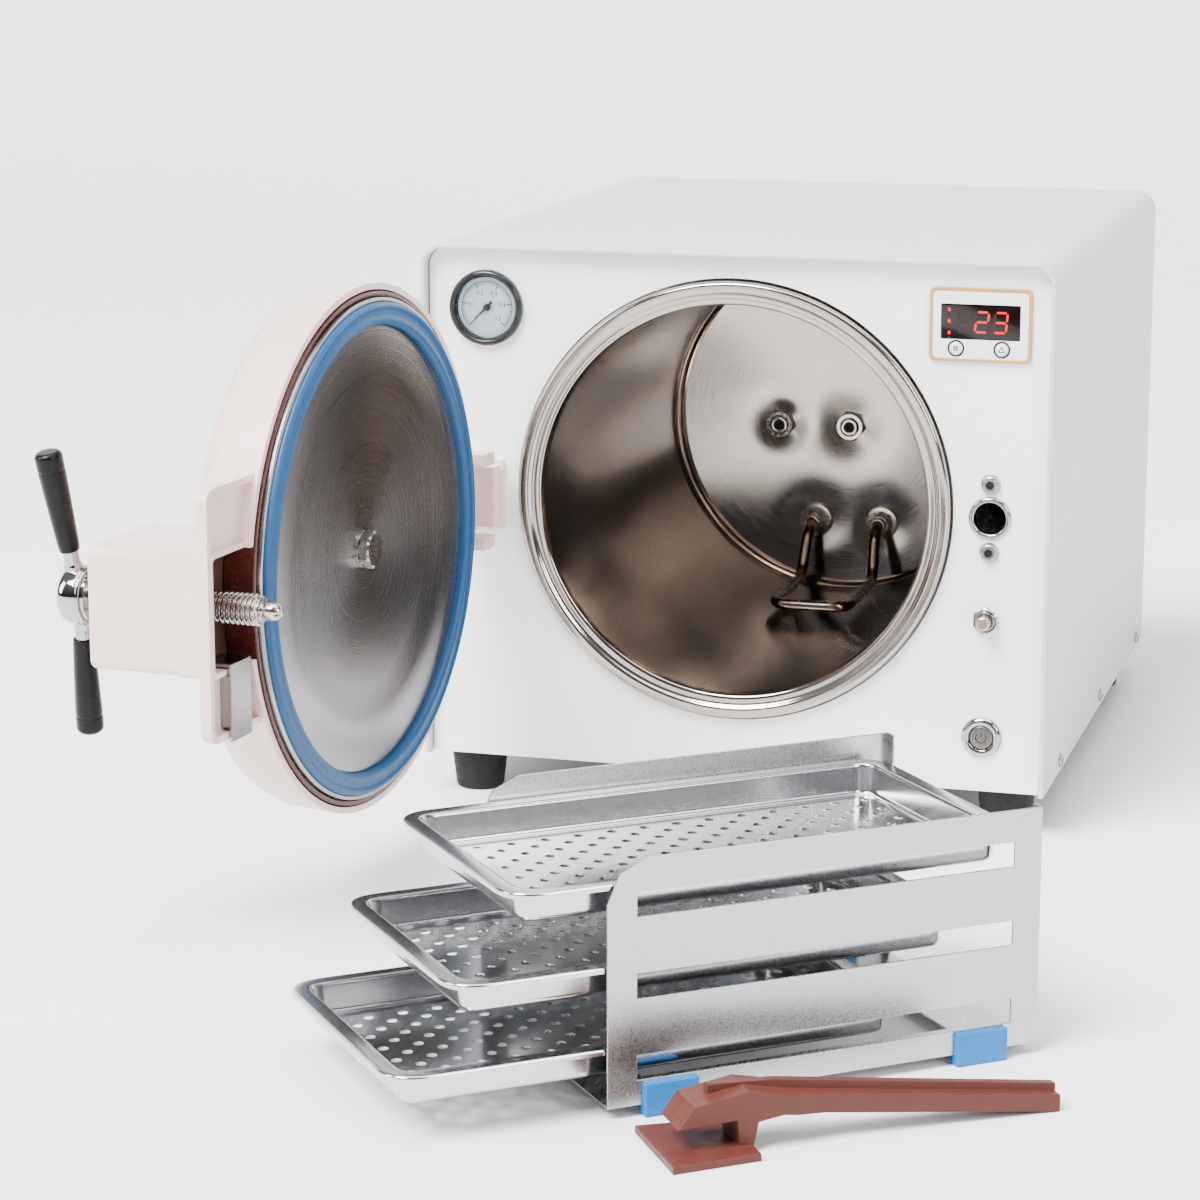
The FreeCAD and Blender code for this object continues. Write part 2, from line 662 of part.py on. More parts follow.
# ---------------------------------------------------------------------------------------------
# Pressure gauge
# ---------------------------------------------------------------------------------------------
gauge_at = (d.gauge_x, d.panel_setback, d.gauge_z)
turned("gauge_case", [
    (-5, d.dial_radius + 0.2), (-5, d.bezel_radius - 1.5), (-3.5, d.bezel_radius),
    (0, d.bezel_radius), (0, d.bezel_radius - 3.4), (28, d.bezel_radius - 3.4), (28, 0),
    (26, 0), (26, d.dial_radius - 1), (1, d.dial_radius - 1), (1, d.dial_radius + 0.2),
], case, gauge_at)
turned("gauge_dial", [
    (0, 1.6), (0, d.dial_radius), (1, d.dial_radius), (1, 1.6),
], case, gauge_at)
turned("gauge_lens", [
    (-4.2, 0), (-4.2, d.dial_radius), (-3.2, d.dial_radius), (-3.2, 0),
], case, gauge_at)

# at rest the needle points down and to the left, at the scale's zero
NEEDLE_REST = Rotation(Vector(0, 1, 0), 225)
gauge_needle = new_body("gauge_needle", case, gauge_at, NEEDLE_REST)
front_plate(gauge_needle, -1.6, 0.6, [(outline, [[
    (-0.9, 0), (0.9, 0), (d.dial_radius * 0.02, d.dial_radius * 0.8),
    (d.dial_radius * -0.02, d.dial_radius * 0.8),
]])])
front_plate(gauge_needle, -2.2, 2.0, [(circle, (0, 0, 2.2))])
front_plate(gauge_needle, -0.8, 8, [(circle, (0, 0, 1.3))])

# ---------------------------------------------------------------------------------------------
# Display with two buttons
# ---------------------------------------------------------------------------------------------
display_at = (d.display_x, d.panel_setback, d.display_z)
half_wide, half_tall = d.display_width / 2, d.display_height / 2
FRAME_BAND = 2.2
window_low = d.window_rise - d.window_height / 2
window_high = d.window_rise + d.window_height / 2
display_frame = new_body("display_frame", case, display_at)
front_plate(display_frame, -2.6, 2.6, [
    (rectangle, (-half_wide, half_wide, -half_tall, half_tall)),
    (rectangle, (FRAME_BAND - half_wide, half_wide - FRAME_BAND,
                 FRAME_BAND - half_tall, half_tall - FRAME_BAND)),
])
round_edges(
    display_frame, 3,
    lambda edge: runs_along("y", edge) and abs(abs(edge.CenterOfMass.x) - half_wide) < 0.1,
)
button_spots = {"set_button": d.left_button_x, "up_button": d.right_button_x}
display_plate = new_body("display_plate", case, display_at)
front_plate(display_plate, -2.0, 2.0, [
    (rectangle, (FRAME_BAND - half_wide, half_wide - FRAME_BAND,
                 FRAME_BAND - half_tall, half_tall - FRAME_BAND)),
    (rectangle, (-d.window_width / 2, d.window_width / 2, window_low, window_high)),
] + [(circle, (x, -d.button_drop, d.button_radius + 0.3)) for x in button_spots.values()])
display_window = new_body("display_window", case, display_at)
front_plate(display_window, -1.6, 1.6, [
    (rectangle, (-d.window_width / 2, d.window_width / 2, window_low, window_high)),
])
for label, x in button_spots.items():
    button = new_body(label, case, (d.display_x + x, d.panel_setback, d.display_z - d.button_drop))
    front_plate(button, -2.9, 3.4, [(circle, (0, 0, d.button_radius))])
    front_plate(button, 0.5, 2.4, [(circle, (0, 0, 1.5))])
board = block(-28, 28, 8, 9.6, -19, 19)
digits = block(-22, 22, 1.6, 8, -7, 11)
switches = [
    rod("y", (x, 4.2, -d.button_drop), 3, 3.8) for x in button_spots.values()
]
keep(joined([board, digits] + switches), "display_board", case, display_at)

# ---------------------------------------------------------------------------------------------
# Lock nut, door switch and power switch on the front panel
# ---------------------------------------------------------------------------------------------
lock_at = (d.lock_x, 0, d.lock_z)
turned("lock_nut", [
    (d.panel_setback + 1, d.nut_bore + 0.6), (d.panel_setback + 1, d.nut_radius),
    (d.panel_setback + 46, d.nut_radius), (d.panel_setback + 46, d.nut_bore),
    (d.panel_setback + 2, d.nut_bore),
], case, lock_at)

nut_screws = []
for z in (screw_low, screw_high):
    head = rod("y", (d.lock_x, d.panel_setback - 3.6, z), 4.6, 3.6, 6.5)
    shank = rod("y", (d.lock_x, d.panel_setback, z), 2.95, 18)
    socket = rod("y", (d.lock_x, d.panel_setback - 4, z), 2.4, 3)
    nut_screws.append(cut(joined([head, shank]), socket))
keep(group(nut_screws), "lock_nut_screws", case)

switch_at = (d.lock_x - 1, d.panel_setback, d.switch_z)
switch_nut = new_body("switch_nut", case, switch_at)
front_plate(switch_nut, -4, 4, [
    (hexagon, (0, 0, 15)), (circle, (0, 0, d.plunger_radius + 0.3)),
])
front_plate(switch_nut, 0, 16, [
    (circle, (0, 0, 6.1)), (circle, (0, 0, d.plunger_radius + 0.3)),
])
plunger_nose = d.plunger_front - d.panel_setback
turned("switch_plunger", [
    (plunger_nose, 0), (plunger_nose, d.plunger_radius - 1),
    (plunger_nose + 1, d.plunger_radius), (14, d.plunger_radius), (14, 0),
], case, switch_at)
microswitch = block(-7, 5, 20, 38, -14, 8)
keep(group([microswitch]), "door_microswitch", case, switch_at)

power_at = (d.power_x, d.panel_setback, d.power_z)
turned("power_switch", [
    (-2.6, d.power_button_radius + 0.3), (-2.6, d.power_radius - 1.4), (-1.2, d.power_radius),
    (0, d.power_radius), (0, 10.8), (30, 10.8), (30, 0), (12, 0),
    (12, d.power_button_radius + 0.3),
], case, power_at)
turned("power_button", [
    (-2.2, 0), (-2.2, d.power_button_radius - 0.8), (-1.4, d.power_button_radius),
    (8, d.power_button_radius), (8, 0),
], case, power_at)

# ---------------------------------------------------------------------------------------------
# Electrics inside the case and at its back
# ---------------------------------------------------------------------------------------------
board_plate = block(355, 357, 150, 290, 210, 310)
relay_blocks = [block(338, 355, 160 + 34 * index, 182 + 34 * index, 230, 262) for index in range(3)]
keep(joined([board_plate] + relay_blocks), "control_board", case)
core = block(345, 395, 340, 400, d.sheet, 46)
winding = block(350, 390, 332, 408, 8, 40)
keep(joined([core, winding]), "transformer", case)
cutout_disc = rod("y", (260, gland_y + 14, 210), 9, 10)
cutout_tabs = block(252, 268, gland_y + 24, gland_y + 32, 208, 212)
keep(joined([cutout_disc, cutout_tabs]), "thermal_cutout", case)

inlet_shell = block(-15, 15, 1.5, 4.5, -12, 12)
inlet_barrel = block(-13.6, 13.6, -22, 1.6, -9.6, 9.6)
inlet_well = block(-11, 11, -14, 5, -7, 7)
inlet_pins = [block(x - 1, x + 1, -14.5, 1, -2, 2) for x in (-7, 0, 7)]
inlet_housing = cut(joined([inlet_shell, inlet_barrel]), inlet_well)
keep(joined([inlet_housing] + inlet_pins), "mains_inlet", case, (INLET_X, rear_y, INLET_Z))
turned("fuse_holder", [
    (-24, 0), (-24, 6.2), (1.5, 6.2), (1.5, 8), (4, 8), (4, 6.5), (11, 6.5), (12, 5.5), (12, 0),
], case, (FUSE_X, rear_y, INLET_Z))

# ---------------------------------------------------------------------------------------------
# Hinge bracket on the case
# ---------------------------------------------------------------------------------------------
bracket_low = d.fork_gap_low + 0.5
bracket_high = d.fork_gap_high - 0.5
leaf = block(
    d.hinge_x - 12, d.hinge_x + 22, d.panel_setback - 4, d.panel_setback, bracket_low, bracket_high
)
arm = block(
    d.hinge_x - 7, d.hinge_x + 7, d.hinge_y, d.panel_setback - 3, bracket_low, bracket_high
)
gusset = block(
    d.hinge_x + 7, d.hinge_x + 20, d.panel_setback - 17, d.panel_setback - 3,
    bracket_low + 3, bracket_high - 3,
)
barrel = rod("z", (d.hinge_x, d.hinge_y, bracket_low), 9, bracket_high - bracket_low)
barrel_bore = rod("z", (d.hinge_x, d.hinge_y, bracket_low - 5), d.pin_radius + 0.08, 60)
keep(cut(joined([leaf, arm, gusset, barrel]), barrel_bore), "hinge_bracket", case)

# ---------------------------------------------------------------------------------------------
# Door, drawn closed with its origin on the hinge axis: pin, beam, shell, liner, plate and seal
# ---------------------------------------------------------------------------------------------
def from_hinge(x=None, y=None):
    """A closed-door place measured from the case, given from the hinge axis."""
    return x - d.hinge_x if y is None else y - d.hinge_y


door_x = from_hinge(x=d.chamber_x)
lock_from_hinge = from_hinge(x=d.lock_x)
door_centre = (door_x, -d.hinge_y, d.chamber_z)

turned("hinge_pin", [
    (d.fork_low - 3, 0), (d.fork_low - 3, 6), (d.fork_low - 0.2, 6), (d.fork_low - 0.2, d.pin_radius),
    (d.fork_high + 0.2, d.pin_radius), (d.fork_high + 0.2, 6.5), (d.fork_high + 2.5, 6.5),
    (d.fork_high + 4, 5), (d.fork_high + 4, 0),
], door, about="Z")

BEAM_FRONT, BEAM_BACK = -24.0, -34.0
beam_front = from_hinge(y=BEAM_FRONT)
beam_back = from_hinge(y=BEAM_BACK)
plate_face = d.seal_front - 5
groove_floor = d.seal_front - 7.9
plate_back = groove_floor - 4
fork_ears = []
for low, high in ((d.fork_low, d.fork_gap_low), (d.fork_gap_high, d.fork_high)):
    eye = rod("z", (0, 0, low), 13, high - low)
    strap = block(0, 19, beam_back, 13, low, high)
    lobe = block(-13, 5, 0, 21, low, high)
    fork_ears += [eye, strap, lobe]
web = block(15, from_hinge(x=d.box_side - 5), beam_back, beam_front, d.fork_low, d.fork_high)
pin_hole = rod("z", (0, 0, d.fork_low - 5), d.pin_radius, 80)
screw_hole = rod("y", (lock_from_hinge, beam_back - 5, d.lock_z), d.screw_radius + 0.3, 30)
bolt_hole = rod("y", (door_x, beam_back - 5, d.chamber_z), 5.2, 60)
spacer = rod("y", (door_x, beam_front, d.chamber_z), 22, plate_back - BEAM_FRONT)
beam = joined(fork_ears + [web, spacer])
keep(cut(beam, joined([pin_hole, screw_hole, bolt_hole])), "door_beam", door)

# shell: a shallow drum, a rectangular tab on the lock side and the deep lock box behind the tab
SHELL_ROUND = 14
drum_profile = [
    (d.shell_front, 0), (d.shell_front, d.shell_radius),
    (d.shell_back + SHELL_ROUND, d.shell_radius - 1.5),
    (d.shell_back + SHELL_ROUND * 0.3, d.shell_radius - SHELL_ROUND * 0.4),
    (d.shell_back, d.shell_radius - SHELL_ROUND * 1.3),
    (d.shell_back - 5, d.shell_radius * 0.5), (d.shell_back - 6.5, 0),
]
hollow_profile = [
    (d.shell_front + 5, 0), (d.shell_front + 5, d.shell_radius - d.shell_wall),
    (d.shell_back + SHELL_ROUND, d.shell_radius - 1.5 - d.shell_wall),
    (d.shell_back + SHELL_ROUND * 0.5, d.shell_radius - SHELL_ROUND * 0.5 - d.shell_wall),
    (d.shell_back + d.shell_wall, d.shell_radius - SHELL_ROUND * 1.3),
    (d.shell_back - 5 + d.shell_wall, d.shell_radius * 0.5), (d.shell_back - 6.5 + d.shell_wall, 0),
]


def drum(name, profile):
    """A revolved solid on the chamber's axis, used as a tool for the door shell."""
    edges = doc.addObject("Part::Feature", name + "_profile")
    points = [Vector(float(radius), float(along), 0) for along, radius in profile]
    edges.Shape = Part.Face(Part.makePolygon(points + points[:1]))
    made = doc.addObject("Part::Revolution", name)
    made.Source = edges
    made.Axis = Vector(0, 1, 0)
    made.Angle = 360
    made.Solid = False
    tie(made, "Placement.Base.x", door_centre[0])
    tie(made, "Placement.Base.y", door_centre[1])
    tie(made, "Placement.Base.z", door_centre[2])
    return made


def rounded_block(radius, *planes, back_round=0.0):
    """A box between six planes with the four edges along Y rounded, and its outer face's rim too."""
    source = block(*planes)
    doc.recompute()
    made = doc.addObject("Part::Fillet", "Rounded")
    made.Base = source
    outer_face = source.Shape.BoundBox.YMin
    rounds = []
    for index, edge in enumerate(source.Shape.Edges):
        if runs_along("y", edge):
            rounds.append((index + 1, radius, radius))
        elif back_round and edge.CenterOfMass.y < outer_face + 0.1:
            rounds.append((index + 1, back_round, back_round))
    made.Edges = rounds
    return made


tab_edge = from_hinge(x=d.tab_free_edge)
tab_low, tab_high = d.lock_z - d.tab_height / 2, d.lock_z + d.tab_height / 2
tab_face = from_hinge(y=d.tab_front)
box_low, box_high = d.lock_z - d.box_height / 2, d.lock_z + d.box_height / 2
box_left = from_hinge(x=d.box_side - 76)
box_right = from_hinge(x=d.box_side)
box_end = from_hinge(y=d.box_back)
TAB_ROOT = 70
tab_block = rounded_block(
    8, tab_edge - TAB_ROOT, tab_edge, tab_face - d.tab_depth, tab_face, tab_low, tab_high,
    back_round=2,
)
tab_recess = rounded_block(
    5, tab_edge - TAB_ROOT + 1, tab_edge - 4, tab_face - d.tab_depth + 2.5, tab_face + 1,
    tab_low + 4, tab_high - 4,
)
recess_floor = rounded_block(
    3, tab_edge - TAB_ROOT + 2, box_right, tab_face - d.tab_depth - 14,
    tab_face - 0.5, box_low, box_high,
)
box_block = rounded_block(
    6, box_left, box_right, box_end, tab_face - 2, box_low, box_high, back_round=2.5
)
box_hollow = rounded_block(
    3, box_left + 3, box_right - 3, box_end + 3, tab_face + 4, box_low + 3, box_high - 3
)
fork_window = block(4, 34, beam_back - 3, 21, d.fork_low - 1.5, d.fork_high + 1.5)
bush_hole = rod("y", (lock_from_hinge, box_end - 2, d.lock_z), 14, 8)
round_body = drum("drum_outside", drum_profile)
round_hollow = drum("drum_inside", hollow_profile)
tab_with_recess = cut(tab_block, tab_recess)
outside = joined([round_body, tab_with_recess, box_block, recess_floor])
shell = cut(outside, joined([round_hollow, box_hollow, fork_window, bush_hole]))
keep(shell, "door_shell", door)

liner_outer = d.shell_radius - d.shell_wall - 1.3
turned("door_liner", [
    (d.shell_front + 0.5, liner_outer - 2.4), (d.shell_front + 0.5, liner_outer),
    (-23, liner_outer), (-23, liner_outer - 12), (-21, liner_outer - 12),
    (-21, liner_outer - 2.4),
], door, door_centre)

turned("door_plate", [
    (plate_face - 5.5, 5.2), (plate_face - 5.5, 18), (plate_face - 3.5, 60),
    (plate_face, d.seal_inner - 6), (plate_face, d.seal_inner - 0.2),
    (groove_floor, d.seal_inner - 0.2), (groove_floor, d.seal_outer + 0.2),
    (d.seal_front - 3.2, d.seal_outer + 0.2), (d.seal_front - 3.2, d.seal_outer + 2.6),
    (plate_back, d.seal_outer + 2.6), (plate_back, 5.2),
], door, door_centre)

turned("door_seal", [
    (d.seal_front - 1.6, d.seal_inner), (d.seal_front, d.seal_inner + 2.4),
    (d.seal_front, d.seal_outer - 2.4), (d.seal_front - 1.6, d.seal_outer),
    (groove_floor, d.seal_outer), (groove_floor, d.seal_inner),
], door, door_centre)

plate_bolt = new_body("plate_bolt", door, door_centre)
bolt_seat = plate_face - 5.5
front_plate(plate_bolt, bolt_seat, 8, [(hexagon, (0, 0, 20))])
front_plate(plate_bolt, BEAM_BACK - 2, bolt_seat - BEAM_BACK + 2, [(circle, (0, 0, 4.9))])
front_plate(plate_bolt, BEAM_BACK - 8, 7.9, [(hexagon, (0, 0, 16))])

turned("lock_bush", [
    (d.box_back - 2, d.screw_radius + 0.3), (d.box_back - 2, 17), (d.box_back, 17),
    (d.box_back, 13.9), (d.box_back + 8, 13.9), (d.box_back + 8, d.screw_radius + 0.3),
], door, (lock_from_hinge, -d.hinge_y, d.lock_z))

STRIKER_BACK = 0.2
striker_face = from_hinge(y=d.tab_front) + STRIKER_BACK
striker_mid = lock_from_hinge - 1
striker_low = d.switch_z - 8
striker_tongue = block(
    striker_mid - 10.5, striker_mid + 13.5, striker_face, striker_face + 2,
    striker_low, striker_low + 44,
)
striker_side = block(
    striker_mid + 11.5, striker_mid + 13.5, striker_face - 5, striker_face + 0.5,
    striker_low + 8, box_low - 0.5,
)
striker_foot = block(
    striker_mid - 10.5, striker_mid + 13.5, beam_front, striker_face + 0.5,
    striker_low + 42, striker_low + 44,
)
keep(joined([striker_tongue, striker_side, striker_foot]), "striker", door)

# ---------------------------------------------------------------------------------------------
# Lock screw with its T handle
# ---------------------------------------------------------------------------------------------
screw_at = (lock_from_hinge, -d.hinge_y, d.lock_z)
THREAD_DEPTH = 1.4
THREAD_TURNS = 20
thread_points = []
for turn in range(THREAD_TURNS):
    crest = d.thread_end - 1.5 - d.thread_pitch * (THREAD_TURNS - 1 - turn)
    thread_points += [
        (crest - d.thread_pitch * 0.5, d.screw_radius - THREAD_DEPTH), (crest, d.screw_radius),
    ]
thread_start = d.thread_end - 1.5 - d.thread_pitch * (THREAD_TURNS - 0.5)
turned("lock_screw", [
    (d.hub_front - 9.8, 0), (d.hub_front - 9.8, d.screw_radius),
    (thread_start - 1, d.screw_radius),
] + thread_points + [
    (d.thread_end, d.nose_radius + 1), (d.thread_end, d.nose_radius - 0.8),
    (d.thread_end + 2.5, d.nose_radius - 0.8), (d.thread_end + 3.5, d.nose_radius),
    (d.nose_end - 2.5, d.nose_radius), (d.nose_end, d.nose_radius - 2.5), (d.nose_end, 0),
], door, screw_at)

turned("thrust_washer", [
    (d.hub_front + 0.1, d.screw_radius + 0.3), (d.hub_front + 0.1, 15),
    (d.hub_front + 2.1, 15), (d.hub_front + 2.1, d.screw_radius + 0.3),
], door, screw_at)

hub_back = d.hub_front - d.hub_length
hub = doc.addObject("PartDesign::Body", "Body_hub")
add_turn(hub, [
    (hub_back, 0), (hub_back, d.hub_radius - 6), (hub_back + 1, d.hub_radius - 3),
    (hub_back + 3, d.hub_radius - 0.8), (hub_back + 6, d.hub_radius),
    (d.hub_front - 1.5, d.hub_radius), (d.hub_front, d.hub_radius - 1.5),
    (d.hub_front, d.screw_radius + 0.02), (d.hub_front - 9.9, d.screw_radius + 0.02),
    (d.hub_front - 9.9, 0),
])

# each arm leans out from the door by the splay; the pair is turned a little off upright
arm_y = d.hub_front - d.hub_length / 2
arm_origin = Vector(0, float(arm_y), 0)
arm_tilts = [
    Rotation(Vector(0, 1, 0), d.arm_turn) * Rotation(Vector(1, 0, 0), d.arm_splay),
    Rotation(Vector(0, 1, 0), d.arm_turn + 180) * Rotation(Vector(1, 0, 0), d.arm_splay),
]
necks, grips = [], []
for tilt in arm_tilts:
    neck = rod("z", (0, 0, 0), 4.5, d.grip_start + 8 - (d.hub_radius - 4))
    neck.Placement = Placement(arm_origin + tilt.multVec(Vector(0, 0, d.hub_radius - 4)), tilt)
    necks.append(neck)
    grip_length = d.arm_tip - d.grip_start
    sleeve = rod("z", (0, 0, 0), 5.8, grip_length * 0.45, 7.4)
    sleeve.Placement = Placement(arm_origin + tilt.multVec(Vector(0, 0, d.grip_start)), tilt)
    knob = rod("z", (0, 0, 0), 7.4, grip_length * 0.5, 7.8)
    knob.Placement = Placement(
        arm_origin + tilt.multVec(Vector(0, 0, d.grip_start + grip_length * 0.45)), tilt
    )
    cap = rod("z", (0, 0, 0), 7.8, grip_length * 0.05, 6.2)
    cap.Placement = Placement(
        arm_origin + tilt.multVec(Vector(0, 0, d.grip_start + grip_length * 0.95)), tilt
    )
    grips.append(cut(joined([sleeve, knob, cap]), neck))
keep(joined([hub] + necks), "lock_hub", door, screw_at)
keep(group(grips), "handle_grips", door, screw_at)

# ---------------------------------------------------------------------------------------------
# Tray rack: two slotted side walls with folded rails, a floor and plastic edge clips
# ---------------------------------------------------------------------------------------------
half_long = d.rack_length / 2
half_rack = d.rack_width / 2
rack_top = d.rack_height
SLOT_HEIGHT = 13
rack_body = new_body("tray_rack", rack)
for side in (-1, 1):
    wall = sketch_on(
        rack_body, "YZ_Plane", half_rack - d.rack_sheet if side > 0 else -half_rack
    )
    outline(wall, [
        (-half_long, d.rack_lift), (half_long, d.rack_lift), (half_long, rack_top),
        (d.rack_corner - half_long, rack_top), (d.rack_corner * 0.3 - half_long, rack_top - 7),
        (-half_long, rack_top - d.rack_corner),
    ])
    for level in range(3):
        rail_z = d.rail_low + d.rail_pitch * level
        rectangle(wall, 16 - half_long, half_long - 16, rail_z - SLOT_HEIGHT, rail_z)
    pad(rack_body, wall, d.rack_sheet)
floor_sketch = sketch_on(rack_body, "XY_Plane", d.rack_lift)
rectangle(floor_sketch, 0.4 - half_rack, half_rack - 0.4, -half_long, half_long)
rectangle(floor_sketch, 34 - half_rack, half_rack - 34, 34 - half_long, half_long - 34)
pad(rack_body, floor_sketch, d.rack_sheet)
rails = sketch_on(rack_body, "XZ_Plane", half_long - 12)
for level in range(3):
    rail_z = d.rail_low + d.rail_pitch * level
    rectangle(rails, 0.4 - half_rack, d.rail_width - half_rack, rail_z, rail_z + d.rack_sheet)
    rectangle(rails, half_rack - d.rail_width, half_rack - 0.4, rail_z, rail_z + d.rack_sheet)
pad(rack_body, rails, d.rack_length - 24, backwards=True)
stops = sketch_on(rack_body, "XZ_Plane", -half_long)
rectangle(stops, 0.4 - half_rack, 8 - half_rack, d.rack_lift, rack_top)
rectangle(stops, half_rack - 8, half_rack - 0.4, d.rack_lift, rack_top)
pad(rack_body, stops, d.rack_sheet)

CLIP_SPOTS = (-88, 88)
clips = [
    block(
        side * half_rack - 4 - side * 0.6, side * half_rack + 4 - side * 0.6,
        y - 15, y + 15, 0, d.rack_lift + 12,
    )
    for side in (-1, 1) for y in CLIP_SPOTS
]
keep(group(clips), "rack_clips", rack)


# ---------------------------------------------------------------------------------------------
# Trays: pressed sheet with a rolled rim and a staggered pattern of round holes
# ---------------------------------------------------------------------------------------------
def rounded_plate(length, width, low, high, corner):
    """A plate centred on the origin with rounded upright edges."""
    plate = Part.makeBox(width, length, high - low, Vector(-width / 2, -length / 2, low))
    upright = [edge for edge in plate.Edges if runs_along("z", edge)]
    return plate.makeFillet(corner, upright)


def tray_shape():
    """The tray with its rim's underside at height 0 and its centre on the origin."""
    length, width, depth = float(d.tray_length), float(d.tray_width), float(d.tray_depth)
    wall, rim, corner = float(d.tray_sheet), float(d.tray_rim), float(d.tray_corner)
    inner = corner - rim
    flange = rounded_plate(length, width, 0, wall, corner)
    edge_skirt = rounded_plate(length, width, -2.5, wall, corner).cut(
        rounded_plate(length - 2 * wall, width - 2 * wall, -3, wall + 1, corner - wall)
    )
    tub = rounded_plate(length - 2 * rim, width - 2 * rim, wall - depth, 0.2, inner)
    hollow = rounded_plate(
        length - 2 * rim - 2 * wall, width - 2 * rim - 2 * wall, 2 * wall - depth, 5, inner - wall
    )
    pitch, radius = float(d.tray_hole_pitch), float(d.tray_hole_radius)
    drills = []
    for shift in (0.0, 0.5):
        for row in range(14 if shift == 0 else 13):
            for column in range(7 if shift == 0 else 6):
                x = (column + shift - 3) * pitch
                y = (row + shift - 6.5) * pitch
                drills.append(Part.makeCylinder(radius, 4, Vector(x, y, wall - depth - 1)))
    return flange.fuse([edge_skirt, tub]).cut(hollow).cut(Part.makeCompound(drills))


pressed_tray = tray_shape()
tray_levels = {
    "bottom_tray": (0, d.bottom_overhang), "middle_tray": (1, d.middle_overhang),
    "top_tray": (2, d.top_overhang),
}
RIM_DROP = 2.8
for label, (level, overhang) in tray_levels.items():
    height = d.rail_low + d.rail_pitch * level + d.rack_sheet + RIM_DROP
    along = d.tray_length / 2 - half_long - overhang
    finished_shape(label, pressed_tray, rack, (0, along, height))

# ---------------------------------------------------------------------------------------------
# Tray handle: flat blade, upright web, jaw over the blade and a ribbed stem
# ---------------------------------------------------------------------------------------------
tray_handle = new_body("tray_handle", tool)
tail = d.tool_length / 2
blade_half = d.tool_blade / 2
blade = sketch_on(tray_handle, "XY_Plane")
outline(blade, [
    (-blade_half, -tail), (blade_half, -tail), (blade_half - 4, 46 - tail), (4 - blade_half, 46 - tail),
])
pad(tray_handle, blade, 4)
side_view = sketch_on(tray_handle, "YZ_Plane", -13)
outline(side_view, [
    (40 - tail, 0), (46 - tail, 0), (49 - tail, 15), (62 - tail, 17), (tail, 0), (tail, 9),
    (64 - tail, 27), (44 - tail, 31), (16 - tail, 26), (8 - tail, 15), (38 - tail, 17),
])
pad(tray_handle, side_view, 26)
rib = sketch_on(tray_handle, "YZ_Plane", -2.5)
outline(rib, [
    (tail, 8), (tail, 13), (60 - tail, 32), (26 - tail, 33), (26 - tail, 25), (62 - tail, 24),
])
pad(tray_handle, rib, 5)
for side in (-1, 1):
    waist = sketch_on(tray_handle, "XY_Plane", -1)
    outline(waist, [
        (side * 14, 66 - tail), (side * 14, tail + 1), (side * 8.5, tail + 1),
        (side * 9.5, 84 - tail),
    ])
    pocket(tray_handle, waist, 50, backwards=True)

# ---------------------------------------------------------------------------------------------
# Check and write
# ---------------------------------------------------------------------------------------------
doc.recompute()
for item in doc.Objects:
    if "Invalid" in item.State or "Error" in item.State:
        raise RuntimeError("%s (%s) did not recompute: %s" % (item.Name, item.Label, item.State))
os.makedirs("parts", exist_ok=True)
whole = FreeCAD.BoundBox()
for item in SUB_PARTS:
    if item.Shape.isNull() or not item.Shape.isValid():
        raise RuntimeError("%s has no valid shape" % item.Label)
    item.Shape.exportStep(os.path.join("parts", item.Label + ".step"))
    whole.add(item.Shape.BoundBox)
    print("%-20s solids %2d volume %10.1f" % (
        item.Label, len(item.Shape.Solids), item.Shape.Volume
    ))
print("sub-parts", len(SUB_PARTS))
print("box", whole)
print("centre off origin", round(whole.Center.x, 2), round(whole.Center.y, 2), "low", whole.ZMin)
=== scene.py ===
"""Benchtop steam autoclave, door open, with its tray rack, three trays and tray handle on the bench."""
import bmesh
import bpy
import json
import math
import numpy as np
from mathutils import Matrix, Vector
from mathutils.geometry import delaunay_2d_cdt


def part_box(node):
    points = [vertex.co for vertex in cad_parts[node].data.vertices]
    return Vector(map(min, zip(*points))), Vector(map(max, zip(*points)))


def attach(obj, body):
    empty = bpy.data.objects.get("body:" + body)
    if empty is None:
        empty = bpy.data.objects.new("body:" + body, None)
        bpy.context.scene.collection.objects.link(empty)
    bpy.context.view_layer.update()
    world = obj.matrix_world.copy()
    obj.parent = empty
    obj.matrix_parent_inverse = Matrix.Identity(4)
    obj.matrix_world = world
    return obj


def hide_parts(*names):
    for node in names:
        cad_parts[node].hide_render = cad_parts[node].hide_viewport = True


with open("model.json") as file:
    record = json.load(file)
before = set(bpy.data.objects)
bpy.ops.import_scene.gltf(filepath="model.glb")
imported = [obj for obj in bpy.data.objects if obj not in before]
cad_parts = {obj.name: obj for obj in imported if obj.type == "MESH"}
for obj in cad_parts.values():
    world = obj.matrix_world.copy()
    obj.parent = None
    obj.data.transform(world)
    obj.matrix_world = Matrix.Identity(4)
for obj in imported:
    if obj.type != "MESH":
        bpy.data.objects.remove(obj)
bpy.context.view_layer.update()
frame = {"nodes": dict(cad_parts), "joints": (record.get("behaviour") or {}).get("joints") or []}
nodes = frame["nodes"]
joints = {joint["name"]: joint for joint in frame["joints"]}


# ---- Wrap cover ---------------------------------------------------------------------------------
# One steel sheet folded over the sides and the top, its front edge hemmed round the front panel.
# Satin powder coat in a warm light grey, with the fine orange peel that such a coat has.
class Place:
    """A frame for a group of pieces: its origin in metres, its axes and the point it counts from."""

    def __init__(self, origin, back, zero=(0, 0, 0)):
        self.origin, self.zero = np.array(origin, float), np.array(zero, float)
        back = np.array([back[0], back[1], 0.0])
        self.axes = np.array([np.cross(back, (0, 0, 1)), back, (0, 0, 1)])

    def row(self, points):
        """Millimetre points in the row frame: origin plus (point less zero) times axes."""
        return self.origin + (np.asarray(points, float) - self.zero) / 1000.0 @ self.axes


